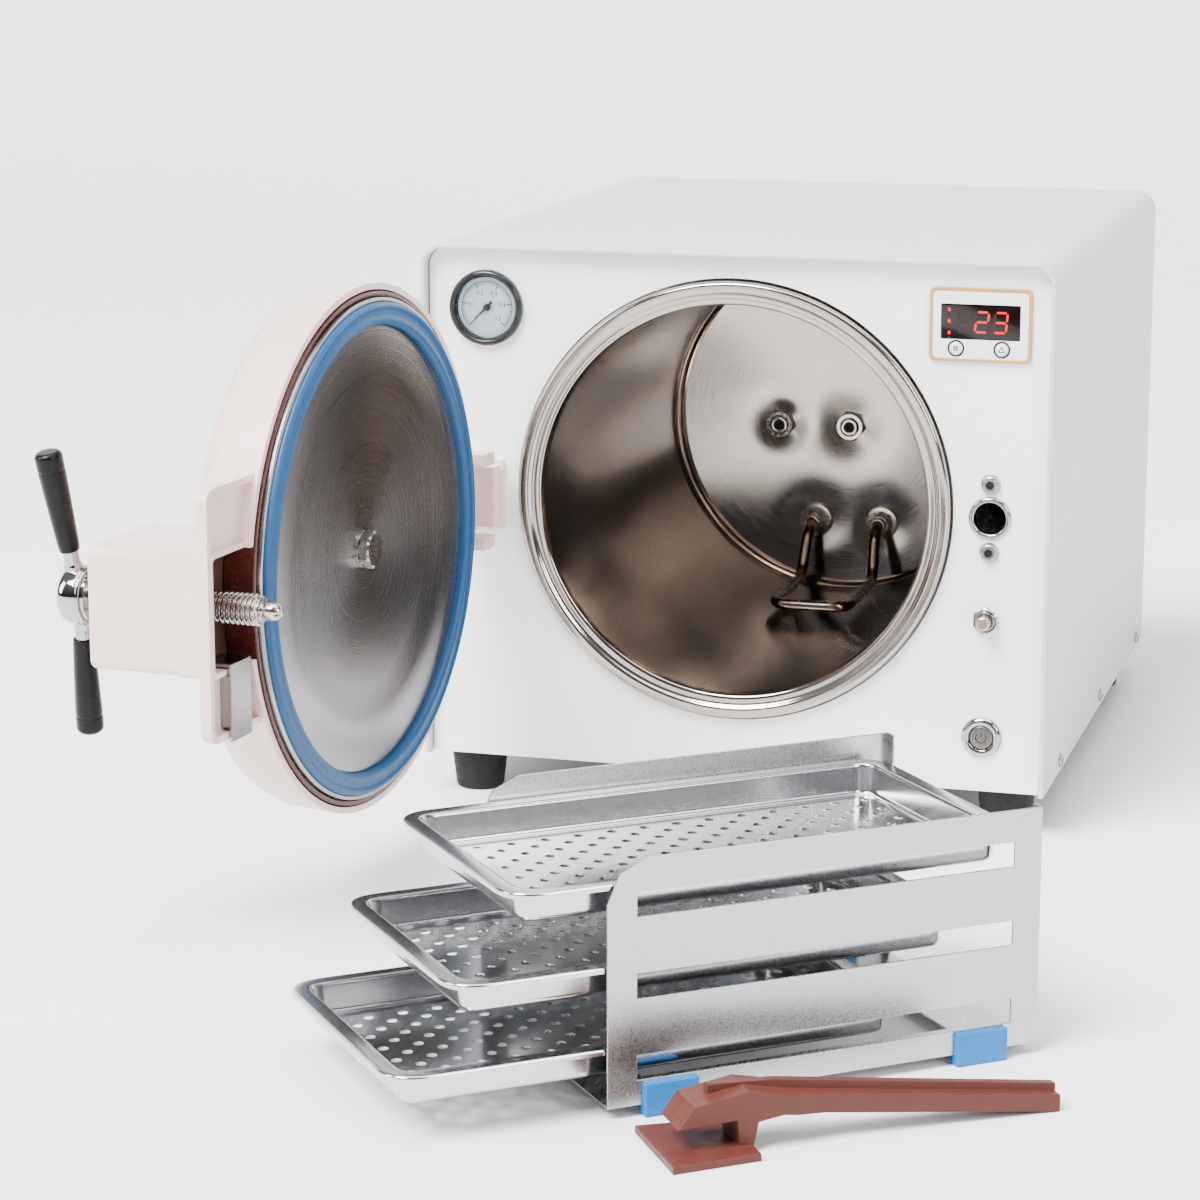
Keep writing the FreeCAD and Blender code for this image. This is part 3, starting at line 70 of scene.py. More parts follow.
case = Place(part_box("wrap_cover")[0], (0, 1))
CASE_WIDTH, CASE_HEIGHT, CASE_DEPTH = 410.0, 337.0, 474.0


def tone(red, green, blue):
    """A linear colour from its 0 to 255 screen values: ((c + 0.055) / 1.055) to the power 2.4."""
    screen = np.array([red, green, blue]) / 255.0
    return np.where(screen < 0.04, screen / 12.92, ((screen + 0.055) / 1.055) ** 2.4)


def settings(node, values):
    """Put each constant on the node's socket of that name."""
    for socket, value in values.items():
        node.inputs[socket].default_value = value


def finish(name, colour, roughness, metallic=0.0, coat=0.0, specular=0.5, **more):
    """A material of one finish, whose constant values sit on the shader's own sockets."""
    made = bpy.data.materials.new(name)
    made.use_nodes = True
    settings(made.node_tree.nodes["Principled BSDF"], {
        "Base Color": (*colour, 1.0), "Roughness": roughness, "Metallic": metallic,
        "Coat Weight": coat, "Coat Roughness": 0.06, "Specular IOR Level": specular,
        **{socket.replace("_", " "): value for socket, value in more.items()}})
    return made


def fed(tree, kind, source, socket, values=()):
    """A node of a kind with its constants set and one socket fed from another node's output."""
    made = tree.nodes.new("ShaderNode" + kind)
    settings(made, dict(values))
    tree.links.new(source, made.inputs[socket])
    return made


def two_tone(ramp, low, first, high, second):
    """A ramp from one colour at one position to a second colour at another."""
    for stop, place, colour in zip(ramp.color_ramp.elements, (low, high), (first, second)):
        stop.position = place
        stop.color = (*np.clip(colour, 0, 1), 1)


GRAIN_LOW, GRAIN_HIGH = 0.3, 0.7


def grained(made, scale, stretch=(1, 1, 1), tint=0.06, rub=0.08, bump=0.0, turn=(0, 0, 0),
            on="Object", detail=5.0):
    """Noise over the finish: it tints the colour, varies the roughness and lifts the surface.

    The noise is read at the point, turned and then stretched, so that a long grain runs one way.
    """
    tree = made.node_tree
    shader = tree.nodes["Principled BSDF"]
    where = tree.nodes.new("ShaderNodeTexCoord").outputs[on]
    mapping = fed(tree, "Mapping", where, "Vector", {"Rotation": turn, "Scale": stretch})
    noise = fed(tree, "TexNoise", mapping.outputs["Vector"], "Vector",
                {"Scale": scale, "Detail": detail})
    grain = noise.outputs["Fac"]
    if tint:
        base = np.array(shader.inputs["Base Color"].default_value[:3])
        ramp = fed(tree, "ValToRGB", grain, "Fac")
        two_tone(ramp, GRAIN_LOW, base * (1 - tint), GRAIN_HIGH, base * (1 + tint))
        tree.links.new(ramp.outputs["Color"], shader.inputs["Base Color"])
    if rub:
        level = shader.inputs["Roughness"].default_value
        span = fed(tree, "MapRange", grain, "Value", {
            "From Min": GRAIN_LOW, "From Max": GRAIN_HIGH, "To Min": max(level - rub, 0.02),
            "To Max": level + rub})
        tree.links.new(span.outputs["Result"], shader.inputs["Roughness"])
    if bump:
        lift = fed(tree, "Bump", grain, "Height", {"Strength": 1.0, "Distance": bump})
        tree.links.new(lift.outputs["Normal"], shader.inputs["Normal"])
    return made


def coated(look, *names):
    """Give CAD nodes a finish; their meshes stay as they are."""
    for name in names:
        nodes[name].data.materials[0] = look


def quads(rows, columns, wrap_rows=False, wrap_columns=True):
    """Faces of a grid: each joins point (i, j) to its neighbours at i + 1 and j + 1."""
    i = np.arange(rows if wrap_rows else rows - 1)[:, None]
    j = np.arange(columns if wrap_columns else columns - 1)[None, :]
    i2, j2 = (i + 1) % rows, (j + 1) % columns
    corners = [i * columns + j, i2 * columns + j, i2 * columns + j2, i * columns + j2]
    return np.stack(corners, -1).reshape(-1, 4)


def eased(corners, radius, steps=6, closed=True):
    """A polyline with its corners rounded: the curve (1-t)(1-t) A + 2t(1-t) C + t t B at each.

    C is the corner; A and B stand a radius before and after it, or less where the sides are short.
    """
    corners = np.asarray(corners, float)
    before, after = np.roll(corners, 1, 0) - corners, np.roll(corners, -1, 0) - corners
    long_before = np.linalg.norm(before, axis=1, keepdims=True)
    long_after = np.linalg.norm(after, axis=1, keepdims=True)
    reach = np.broadcast_to(np.asarray(radius, float).reshape(-1, 1), long_before.shape).copy()
    if not closed:
        reach[[0, -1]] = 0
    reach = np.minimum(reach, 0.49 * np.minimum(long_before, long_after))
    start, end = corners + before / long_before * reach, corners + after / long_after * reach
    t = np.linspace(0, 1, steps)[None, :, None]
    curve = start[:, None] * (1 - t) ** 2 + corners[:, None] * 2 * t * (1 - t) + end[:, None] * t ** 2
    points = curve.reshape(-1, corners.shape[1])
    keep = np.r_[True, np.linalg.norm(np.diff(points, axis=0), axis=1) > 1e-7]
    return points[keep] if not closed else points


def with_faces(shapes):
    """Several (points, faces) surfaces as one, each one's faces counted on from the last."""
    start = np.cumsum([0] + [len(shape[0]) for shape in shapes[:-1]])
    points = np.concatenate([shape[0] for shape in shapes])
    faces = [tuple(int(k) + int(first) for k in face)
             for first, shape in zip(start, shapes) for face in shape[1]]
    return points, faces


def shown(name, data):
    """An object for a mesh, light or camera, put in the scene."""
    made = bpy.data.objects.new(name, data)
    bpy.context.scene.collection.objects.link(made)
    return made


def finished(name, mesh, look, body, stands_for, smooth, edge=0.0):
    """A mesh with its finish, smooth below an angle and with rounded edges, put on its body."""
    mesh.materials.append(look)
    mesh.shade_smooth()
    mesh.set_sharp_from_angle(angle=math.radians(smooth))
    made = shown(name, mesh)
    if edge:
        softened = made.modifiers.new("edge", "BEVEL")
        softened.width = edge / 1000.0
        softened.segments = 3
        softened.limit_method = "ANGLE"
        softened.angle_limit = math.radians(smooth)
        softened.harden_normals = True
    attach(made, body)
    if stands_for:
        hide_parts(*stands_for)
    return made


def piece(name, place, shapes, look, body, stands_for=(), smooth=35, wrapped=False):
    """A mesh piece of one or more surfaces in a frame: doubles merged and faces outwards.

    A wrapped piece keeps each surface's third item, its wrapping, as a UV map.
    """
    points, faces = with_faces(shapes)
    mesh = bpy.data.meshes.new(name)
    mesh.from_pydata(place.row(points).tolist(), [], faces)
    if wrapped:
        around = np.concatenate([shape[2].reshape(-1, 2) for shape in shapes])
        layer = mesh.uv_layers.new(name="around")
        corner = np.zeros(len(mesh.loops), int)
        mesh.loops.foreach_get("vertex_index", corner)
        layer.data.foreach_set("uv", around[corner].astype(np.float32).ravel())
    work = bmesh.new()
    work.from_mesh(mesh)
    bmesh.ops.remove_doubles(work, verts=work.verts, dist=1e-6)
    bmesh.ops.dissolve_degenerate(work, edges=work.edges, dist=1e-7)
    bmesh.ops.recalc_face_normals(work, faces=work.faces)
    work.to_mesh(mesh)
    work.free()
    return finished(name, mesh, look, body, stands_for, smooth)


powder_coat = grained(finish("cover_coat", tone(198, 191, 190), 0.42), 900, tint=0.012, rub=0.06,
                      bump=0.00003, detail=2)
FOLD = 15.0
hem = eased([(0, CASE_DEPTH), (0, 0), (3.2, 0), (3.2, 9), (1.5, 10), (1.5, CASE_DEPTH)],
            [0.3, 0.9, 0.9, 0.5, 0.5, 0.3], 4)
bend = np.linspace(0, math.pi / 2, 14)
left_bend = np.stack([FOLD - FOLD * np.cos(bend), CASE_HEIGHT - FOLD + FOLD * np.sin(bend)], 1)
right_bend = left_bend[::-1] * [-1, 1] + [CASE_WIDTH, 0]
wrap_line = np.concatenate([[(0, 0)], left_bend, right_bend, [(CASE_WIDTH, 0)]])
left_in = np.stack([np.cos(bend), -np.sin(bend)], 1)
wrap_in = np.concatenate([[(1, 0)], left_in, left_in[::-1] * [-1, 1], [(-1, 0)]])
# each point of the hem's outline is carried along the wrap line, inset along its inward normal
across = wrap_line[:, None] + wrap_in[:, None] * hem[None, :, :1]
wrap = np.stack([across[..., 0], np.broadcast_to(hem[:, 1], across.shape[:2]), across[..., 1]], -1)
wrap_faces = quads(len(wrap_line), len(hem)).tolist()
wrap_faces += [list(range(len(hem))), list(range(wrap[..., 0].size - len(hem), wrap[..., 0].size))]
piece("cover", case, [(wrap.reshape(-1, 3), wrap_faces)], powder_coat, "case",
      ["wrap_cover"])
coated(powder_coat, "rear_panel")

# ---- Front panel, base and frame sheets ---------------------------------------------------------
# The front panel is pressed sheet in gloss white enamel, set back inside the cover's edge.
# The base, yoke and saddles are zinc-plated sheet with a drawn grain; the hinge block is moulded.
PANEL_FACE = 8.0
enamel = grained(finish("panel_enamel", tone(243, 243, 247), 0.16, coat=0.4), 260, tint=0.006,
                 rub=0.03, bump=0.000008, detail=1)
zinc_sheet = grained(finish("zinc_sheet", tone(168, 168, 170), 0.34, 1.0), 60, (1, 14, 1),
                     tint=0.10, rub=0.10, bump=0.00002)
coated(enamel, "front_panel")
coated(zinc_sheet, "base_plate", "yoke_plate", "chamber_saddles", "thermal_cutout", "transformer")


def merged_copy(name, source, look, body, edge=0.0, smooth=32):
    """A merged copy of a CAD node, its sharp edges softened by a narrow rounded bevel."""
    mesh = nodes[source].data.copy()
    work = bmesh.new()
    work.from_mesh(mesh)
    bmesh.ops.remove_doubles(work, verts=work.verts, dist=2e-6)
    bmesh.ops.dissolve_limit(work, angle_limit=math.radians(0.5), verts=work.verts,
                             edges=work.edges)
    work.to_mesh(mesh)
    work.free()
    mesh.materials.clear()
    return finished(name, mesh, look, body, [source], smooth, edge)


shell_plastic = grained(finish("shell_plastic", tone(226, 200, 194), 0.30, coat=0.1), 900,
                        tint=0.004, rub=0.04, bump=0.000006, detail=2)
merged_copy("hinge_block", "hinge_bracket", shell_plastic, "case", 0.8)

# ---- Feet ---------------------------------------------------------------------------------------
# Four black rubber cones, moulded with a hollow underside and screwed up into the base.
# The rubber is matt with a soft sheen and picks up a little dust.
def turned(profile, centre, axis=(0, 1, 0), steps=96):
    """A surface of revolution: centre + along * axis + radius * (cos a * u + sin a * v).

    Profile rows are (along, radius) in millimetres.  Returns the points, faces and their wrapping:
    the share of a turn, and the distance along the profile in metres.
    """
    axis = np.asarray(axis, float) / np.linalg.norm(axis)
    aside = (1, 0, 0) if abs(axis[0]) < 0.9 else (0, 0, 1)
    u = np.cross(axis, aside)
    u /= np.linalg.norm(u)
    v = np.cross(axis, u)
    angle = np.linspace(0, 2 * math.pi, steps + 1)
    ring = np.cos(angle)[:, None] * u + np.sin(angle)[:, None] * v
    along, radius = np.asarray(profile, float).T
    points = np.asarray(centre, float) + along[:, None, None] * axis + radius[:, None, None] * ring
    run = np.r_[0, np.cumsum(np.hypot(np.diff(along), np.diff(radius)))] / 1000
    around = np.stack(np.broadcast_arrays(angle[None] / (2 * math.pi), run[:, None]), -1)
    return points.reshape(-1, 3), quads(len(profile), steps + 1, wrap_columns=False), around


def ring_of(profile, radius, steps=5):
    """A closed turned section: eased, then joined back to its first point."""
    section = eased(profile, radius, steps)
    return np.concatenate([section, section[:1]])


rubber = grained(finish("foot_rubber", tone(13, 14, 16), 0.62, specular=0.25), 350, tint=0.25, rub=0.12,
                 bump=0.00004)
foot_line = eased([(0, 0), (0, 19), (-26, 15.8), (-28, 14.6), (-28, 5.5), (-19.5, 5.5), (-19.5, 0)],
                  [0, 0.8, 1.2, 1.2, 0.6, 0.4, 0], 5, False)
FOOT_INSET, FRONT_SETBACK, REAR_SETBACK = 28.0, 32.0, 45.0
shapes = [turned(foot_line, (x, y, 0), (0, 0, 1), 64) for x in (FOOT_INSET, CASE_WIDTH - FOOT_INSET)
          for y in (FRONT_SETBACK, CASE_DEPTH - REAR_SETBACK)]
piece("feet_rubber", case, shapes, rubber, "case", ["feet"])

# ---- Case screws --------------------------------------------------------------------------------
# Pan-head machine screws with a cross slot, in bright zinc-plated steel, three along each side.
# The crosses are dark inserts in the domed heads, coloured as painted shade where the slot recesses would
# be.
bright_steel = grained(finish("screw_steel", tone(160, 157, 153), 0.26, 1.0), 800, tint=0.05,
                       rub=0.05)
# near-black steel used as painted shade in the screw slots, the socket heads and the steam fittings' bores
painted_shade_dark = grained(finish("painted_shade_dark", tone(28, 27, 26), 0.5, 0.6), 300, tint=0.2, rub=0.1)
dome = np.linspace(0, math.pi / 2, 9)
head_line = np.stack([0.6 + 1.8 * np.cos(dome), 4.5 * np.sin(dome)], 1)
head_line = np.concatenate([head_line, [(0, 4.5), (-1, 2), (-8, 2), (-8, 0)]])
SIDE_SCREW_HEIGHT, REAR_SCREW_FACE = 8, CASE_DEPTH - 8.5
shapes, crosses = [], []
for y in (68.0, 249.0, 437.0):
    for x, axis in ((CASE_WIDTH, (1, 0, 0)), (0.0, (-1, 0, 0))):
        shapes.append(turned(head_line, (x, y, SIDE_SCREW_HEIGHT), axis, 40))
        for tall, wide in ((0.5, 2.1), (2.1, 0.5)):
            slot_x = x + axis[0] * 2.32
            box = eased([(-wide, -tall), (wide, -tall), (wide, tall), (-wide, tall)], 0.3, 3)
            loops = [np.stack([np.full(len(box), slot_x + axis[0] * out), y + box[:, 0],
                               SIDE_SCREW_HEIGHT + box[:, 1]], 1) for out in (-0.6, 0.12)]
            crosses.append((np.concatenate(loops), quads(2, len(box)).tolist()
                            + [list(range(len(box))), list(range(len(box), 2 * len(box)))]))
for x in (12.0, 398.0):
    for z in (14.0, 160.0, 306.0):
        shapes.append(turned(head_line * [1, 0.92], (x, REAR_SCREW_FACE, z), (0, 1, 0), 40))
piece("cover_screws", case, shapes, bright_steel, "case", ["case_screws"])
piece("cover_screw_crosses", case, crosses, painted_shade_dark, "case")

# ---- Chamber ------------------------------------------------------------------------------------
# A rolled and welded stainless tube, polished inside, with a wide rolled lip that the door seals on.
# The back is a pressed dome welded in, drawn up into shallow seats round each fitting.
CHAMBER_X, CHAMBER_Z, BORE = 205.5, 178.0, 125.0
LIP_FRONT, CHAMBER_END, DOME_SAG = 2.0, 352.0, 13.0
polished = grained(finish("chamber_polish", tone(172, 162, 153), 0.14, 1.0), 30, (1, 40, 1),
                   tint=0.07, rub=0.035, bump=0.000012, on="UV")


def lathe_grain(look, amount):
    """Stretch a metal's highlight across the fine rings that run round a wrapped piece."""
    tree = look.node_tree
    shader = tree.nodes["Principled BSDF"]
    settings(shader, {"Anisotropic": amount, "Anisotropic Rotation": 0.25})
    tangent = tree.nodes.new("ShaderNodeTangent")
    tangent.direction_type = "UV_MAP"
    tangent.uv_map = "around"
    tree.links.new(tangent.outputs["Tangent"], shader.inputs["Tangent"])


lathe_grain(polished, 0.6)
chamber_at = (CHAMBER_X, 0, CHAMBER_Z)
vessel_line = ring_of([
    (CHAMBER_END, BORE), (30, BORE), (12, BORE + 0.2), (5, BORE + 1.2), (LIP_FRONT + 2.2, BORE + 3.5),
    (LIP_FRONT + 2.4, BORE + 7), (LIP_FRONT, BORE + 9.4), (LIP_FRONT, 139.4), (LIP_FRONT + 2, 141),
    (LIP_FRONT + 12, 141), (LIP_FRONT + 12, 139), (LIP_FRONT + 5, 138), (LIP_FRONT + 5.4, BORE + 2),
    (CHAMBER_END, BORE + 2),
], [0.5, 8, 6, 3, 1.6, 1.6, 1.4, 1.6, 1.2, 0.6, 0.6, 1, 1, 0.5], 7)
piece("chamber_tube", case, [turned(vessel_line, chamber_at, steps=200)], polished, "case",
      ["chamber_vessel"], 40, True)

LEFT_LEG, RIGHT_LEG, GLAND_Z = 183.0, 232.0, 100.0
LEFT_PORT, RIGHT_PORT, PORT_Z = 155.0, 207.0, 170.0
# where each fitting stands in the dome, and how wide its seat spreads
FITTINGS = ((LEFT_LEG, GLAND_Z, 20.0), (RIGHT_LEG, GLAND_Z, 20.0), (LEFT_PORT, PORT_Z, 17.0),
            (RIGHT_PORT, PORT_Z, 24.0))
share = np.linspace(0, 1, 110)[:, None]
turn = np.linspace(0, 2 * math.pi, 201)[None, :]
back_x = (BORE + 1.9) * share * np.cos(turn)
back_z = (BORE + 1.9) * share * np.sin(turn)
# the dome sags with the square of the radius; each seat is a soft swelling towards the front
back_y = CHAMBER_END + DOME_SAG * (1 - share ** 2) + 0 * turn
for x, z, seat in FITTINGS:
    away = np.hypot(back_x - (x - CHAMBER_X), back_z - (z - CHAMBER_Z)) / seat
    back_y = back_y - 2.4 * np.exp(-1.2 * away ** 2)
dome_front = np.stack([CHAMBER_X + back_x, back_y, CHAMBER_Z + back_z], -1)
dome_rear = dome_front + [0, 2, 0]
sheet_points = np.concatenate([dome_front, dome_rear[::-1]])
dome_around = np.stack(np.broadcast_arrays(turn / (2 * math.pi), share * 0.127), -1)
collar_line = ring_of([(CHAMBER_END - 10, BORE - 0.3), (CHAMBER_END - 7.5, BORE - 3.4),
                       (CHAMBER_END + 1, BORE - 4), (CHAMBER_END + 1, BORE - 0.3)],
                      [0.6, 1.6, 0.6, 0.4])
collar = turned(collar_line, chamber_at, steps=200)
skins = (sheet_points.reshape(-1, 3), quads(len(sheet_points), 201, wrap_columns=False),
         np.concatenate([dome_around, dome_around[::-1]]))
piece("chamber_dome", case, [skins, collar], polished, "case", ["chamber_back"], 40,
      True)
jacket_felt = grained(finish("jacket_felt", tone(205, 200, 180), 0.95), 400, tint=0.15, rub=0.03,
                      bump=0.0005)
coated(jacket_felt, "insulation_jacket")

# ---- Heater and fittings inside the chamber -----------------------------------------------------
# A sheathed tubular heater bent into a loop that lies low in the chamber, held by two hex glands.
# Two steam fittings sit above it. All are stainless, the heater sheath darkened a little by use.
sheath = grained(finish("heater_sheath", tone(150, 138, 128), 0.2, 1.0), 120, (1, 1, 1), tint=0.18,
                 rub=0.08, bump=0.00002)
fitting_steel = grained(finish("fitting_steel", tone(190, 182, 174), 0.16, 1.0), 500, tint=0.08,
                        rub=0.06, bump=0.00001)


def bar(path, radius, steps=28):
    """A round bar carried along a path: path point + radius * (cos a * side + sin a * over).

    The side vector is turned as little as it can be from one point to the next.
    """
    path = np.asarray(path, float)
    run = np.gradient(path, axis=0)
    run /= np.linalg.norm(run, axis=1, keepdims=True)
    side = np.cross(run[0], (0.3, 0.2, 0.9))
    sides = []
    for direction in run:
        side = side - direction * (side @ direction)
        side = side / np.linalg.norm(side)
        sides.append(side)
    sides = np.array(sides)
    over = np.cross(run, sides)
    angle = np.linspace(0, 2 * math.pi, steps, endpoint=False)[None, :, None]
    points = path[:, None] + radius * (np.cos(angle) * sides[:, None] + np.sin(angle) * over[:, None])
    last = (len(path) - 1) * steps
    faces = quads(len(path), steps).tolist() + [list(range(steps)), list(range(last, last + steps))]
    return points.reshape(-1, 3), faces


LOOP_Z, LOOP_FRONT, SHEATH_RADIUS = 64.0, CHAMBER_END - 125, 4.0
loop = eased([
    (LEFT_LEG, CHAMBER_END + 32, GLAND_Z), (LEFT_LEG, CHAMBER_END - 18, GLAND_Z),
    (LEFT_LEG - 2, CHAMBER_END - 34, LOOP_Z), (LEFT_LEG - 2, LOOP_FRONT, LOOP_Z),
    (RIGHT_LEG + 2, LOOP_FRONT, LOOP_Z), (RIGHT_LEG + 2, CHAMBER_END - 34, LOOP_Z),
    (RIGHT_LEG, CHAMBER_END - 18, GLAND_Z), (RIGHT_LEG, CHAMBER_END + 32, GLAND_Z),
], 14, 12, False)
piece("heater_loop", case, [bar(loop, SHEATH_RADIUS)], sheath, "case",
      ["heater_element"], 50)


def hexed(width, low, high, centre, ease=0.8, bore=0.0, turn=0.0, axis=(0, 1, 0)):
    """A hexagon nut along an axis: at each angle the flat stands half a width over its cosine.

    Its corners are chamfered: near each face the radius is held to the chamfer circle.
    """
    angle = np.linspace(0, 2 * math.pi, 97) - turn
    flat = np.remainder(angle + turn + math.pi / 6, math.pi / 3) - math.pi / 6
    reach = width / 2 / np.cos(flat)
    inner = width / 2 * 0.97
    rows = [(low, np.full_like(angle, bore)), (low, np.minimum(reach, inner)),
            (low + ease, np.minimum(reach, inner + ease * 1.6)), (low + ease * 1.6, reach),
            (high - ease * 1.6, reach), (high - ease, np.minimum(reach, inner + ease * 1.6)),
            (high, np.minimum(reach, inner)), (high, np.full_like(angle, bore))]
    if bore:
        rows.append(rows[0])
    axis = np.asarray(axis, float)
    u = np.cross(axis, (0, 0, 1))
    v = np.cross(axis, u)
    ring = np.cos(angle)[:, None] * u + np.sin(angle)[:, None] * v
    points = [np.asarray(centre, float) + along * axis + radius[:, None] * ring
              for along, radius in rows]
    return np.concatenate(points), quads(len(rows), 97, wrap_columns=False)


def dome_face(x, z, reach):
    """How far back the dome stands where a flat flange meets it: the square law of the sag."""
    outward = math.hypot(x - CHAMBER_X, z - CHAMBER_Z) + reach
    return CHAMBER_END + DOME_SAG * (1 - (outward / 127.0) ** 2)


shapes = []
for x in (LEFT_LEG, RIGHT_LEG):
    face = dome_face(x, GLAND_Z, 12)
    at = (x, face, GLAND_Z)
    shapes.append(turned(ring_of([(-3.4, 4.2), (-3.4, 12.4), (0.4, 12.8), (0.4, 4.2)], 1.1), at))
    shapes.append(hexed(14.5, -13, -3.2, at, 1.0, 4.3, 0.2))
    shapes.append(turned(ring_of([(-16.5, 4.05), (-16.5, 5.4), (-12.5, 6.4), (-12.5, 4.05)], 0.7),
                         at))
    shapes.append(turned(ring_of([(-1, 4.2), (-1, 8), (21, 8), (21, 4.2)], 0.5), at))
    shapes.append(hexed(26, 6.2, 13.2, at, 1.0, 7.9))
piece("glands", case, shapes, fitting_steel, "case", ["heater_glands"], 12)
shapes, mouths = [], []
PORT_END = 384
for x in (LEFT_PORT, RIGHT_PORT):
    face = dome_face(x, PORT_Z, 10.5)
    at = (x, face, PORT_Z)
    shapes.append(hexed(19.5, -8.5, 0.4, at, 1.2, 3.6, 0.35))
    shapes.append(turned(ring_of([(-11, 3.5), (-11, 6.2), (-8.4, 7.4), (-8.4, 3.5)], 0.8), at))
    shapes.append(turned(ring_of([(-1, 3.5), (-1, 7), (PORT_END - face, 7), (PORT_END - face, 3.5)], 0.5),
                         at))
    # a dark disc just inside each fitting's bore: painted shade in place of the bore's depth
    mouths.append(turned([(-8.0, 0), (-8.0, 3.5), (-7.0, 3.5), (-7.0, 0)], at, steps=40))
piece("steam_fittings", case, shapes, fitting_steel, "case", ["steam_ports"], 12)
piece("steam_mouths", case, mouths, painted_shade_dark, "case")

# ---- Pipework and electrics out of sight --------------------------------------------------------
# Copper pipe, brass valves and the boards inside the case; the inlet and fuse holder show at the back.
# Each keeps its own shape and takes the finish of its real material.
copper = grained(finish("copper_pipe", tone(190, 120, 90), 0.3, 1.0), 90, tint=0.2, rub=0.1,
                 bump=0.00002)
brass = grained(finish("turned_brass", tone(205, 175, 110), 0.28, 1.0), 200, tint=0.12, rub=0.08,
                bump=0.00001)
board_green = grained(finish("board_green", tone(30, 92, 52), 0.5), 300, tint=0.25, rub=0.1)
moulded_black = grained(finish("moulded_black", tone(30, 31, 34), 0.36, coat=0.2), 500, tint=0.12,
                        rub=0.08, bump=0.00001)
coated(copper, "steam_pipes")
coated(brass, "drain_valve", "exhaust_outlet", "safety_valve")
coated(board_green, "display_board", "control_board")
coated(moulded_black, "mains_inlet", "fuse_holder", "door_microswitch")

# ---- Pressure gauge -----------------------------------------------------------------------------
# A panel gauge: a gloss black bezel, a pale blue-white printed dial, a black needle and a glass lens.
# The scale runs three quarters of a turn, with a longer line and a plain number at each fifth.
gauge_at = np.array([42.6, PANEL_FACE, 296.2])
SWEEP_START, SWEEP = math.radians(225), math.radians(270)
gauge_black = grained(finish("gauge_black", tone(14, 17, 18), 0.25, specular=0.4), 400, tint=0.15,
                      rub=0.06, bump=0.00001)
dial_print = grained(finish("dial_print", tone(186, 204, 214), 0.4, specular=0.3), 500, tint=0.015, rub=0.05)
print_black = grained(finish("print_black", tone(12, 16, 24), 0.5, specular=0.2), 900, tint=0.2, rub=0.06)
bezel_line = ring_of([
    (0, 24.5), (-3.8, 24.3), (-5.2, 22.6), (-5.0, 21.2), (-3.4, 20.0), (-1.0, 19.7), (1, 19.7),
    (1, 18.5), (26, 18.5), (26, 0.01), (28, 0.01), (28, 21.1), (0, 21.1),
], [0.4, 1.2, 1.2, 0.8, 1, 0.5, 0.3, 0.3, 0.3, 0.3, 0.3, 0.3, 0.3])
piece("gauge_bezel", case, [turned(bezel_line, gauge_at, steps=120)], gauge_black, "case",
      ["gauge_case"])
dial_line = eased([(0, 1.6), (0, 19.4), (1, 19.4), (1, 1.6)], 0.1, 3)
piece("gauge_face", case, [turned(np.concatenate([dial_line, dial_line[:1]]), gauge_at)], dial_print,
      "case", ["gauge_dial"])


def facing(spots, centre, depth):
    """Front-facing points: centre plus (across, depth, up) for each (across, up) spot."""
    spots = np.asarray(spots, float)
    return np.stack([centre[0] + spots[..., 0], np.full(spots.shape[:-1], centre[1] + depth),
                     centre[2] + spots[..., 1]], -1)


def plaque(outline, centre, low, high, tilt=0.0):
    """A thin plate facing the front: the outline turned about its centre, between two depths."""
    outline = np.asarray(outline, float)
    cosine, sine = math.cos(tilt), math.sin(tilt)
    x = centre[0] + outline[:, 0] * cosine + outline[:, 1] * sine
    z = centre[2] - outline[:, 0] * sine + outline[:, 1] * cosine
    loops = [np.stack([x, np.full_like(x, centre[1] + depth), z], 1) for depth in (low, high)]
    count = len(outline)
    sides = quads(2, count).tolist()
    return np.concatenate(loops), sides + [list(range(count)), list(range(count, 2 * count))]


PRINT_DEPTH = -0.06
shapes = []
for step in range(51):
    angle = SWEEP_START + SWEEP * step / 50
    long_line = step % 10 == 0
    inner, outer, half = (13.2, 16.8, 0.32) if long_line else (14.9, 16.8, 0.17)
    line = [(-half, inner), (half, inner), (half, outer), (-half, outer)]
    shapes.append(plaque(line, gauge_at, PRINT_DEPTH, 0.02, angle))


def arc_band(angles, radii, centre, depth):
    """A flat front-facing arc: (radius * sin a, radius * cos a) at each angle and both radii."""
    band = np.stack([np.stack([radius * np.sin(angles), radius * np.cos(angles)], 1)
                     for radius in radii], 1)
    return facing(band, centre, depth).reshape(-1, 3), quads(len(angles), 2, wrap_columns=False)


shapes.append(arc_band(np.linspace(SWEEP_START, SWEEP_START + SWEEP, 121), (17.0, 16.65),
                       gauge_at, PRINT_DEPTH))


def lettering(text, height, centre, depth):
    """Plain figures as a flat plate facing the front, centred on a point, one height tall."""
    curve = bpy.data.curves.new("figures", "FONT")
    curve.body = text
    curve.align_x, curve.align_y = "CENTER", "CENTER"
    curve.size = height
    curve.resolution_u = 3
    holder = shown("figures", curve)
    flat = bpy.data.meshes.new_from_object(holder.evaluated_get(
        bpy.context.evaluated_depsgraph_get()))
    bpy.data.objects.remove(holder)
    spots = np.zeros(len(flat.vertices) * 3)
    flat.vertices.foreach_get("co", spots)
    spots = spots.reshape(-1, 3)
    faces = [list(face.vertices) for face in flat.polygons]
    bpy.data.meshes.remove(flat)
    return facing(spots, centre, depth), faces


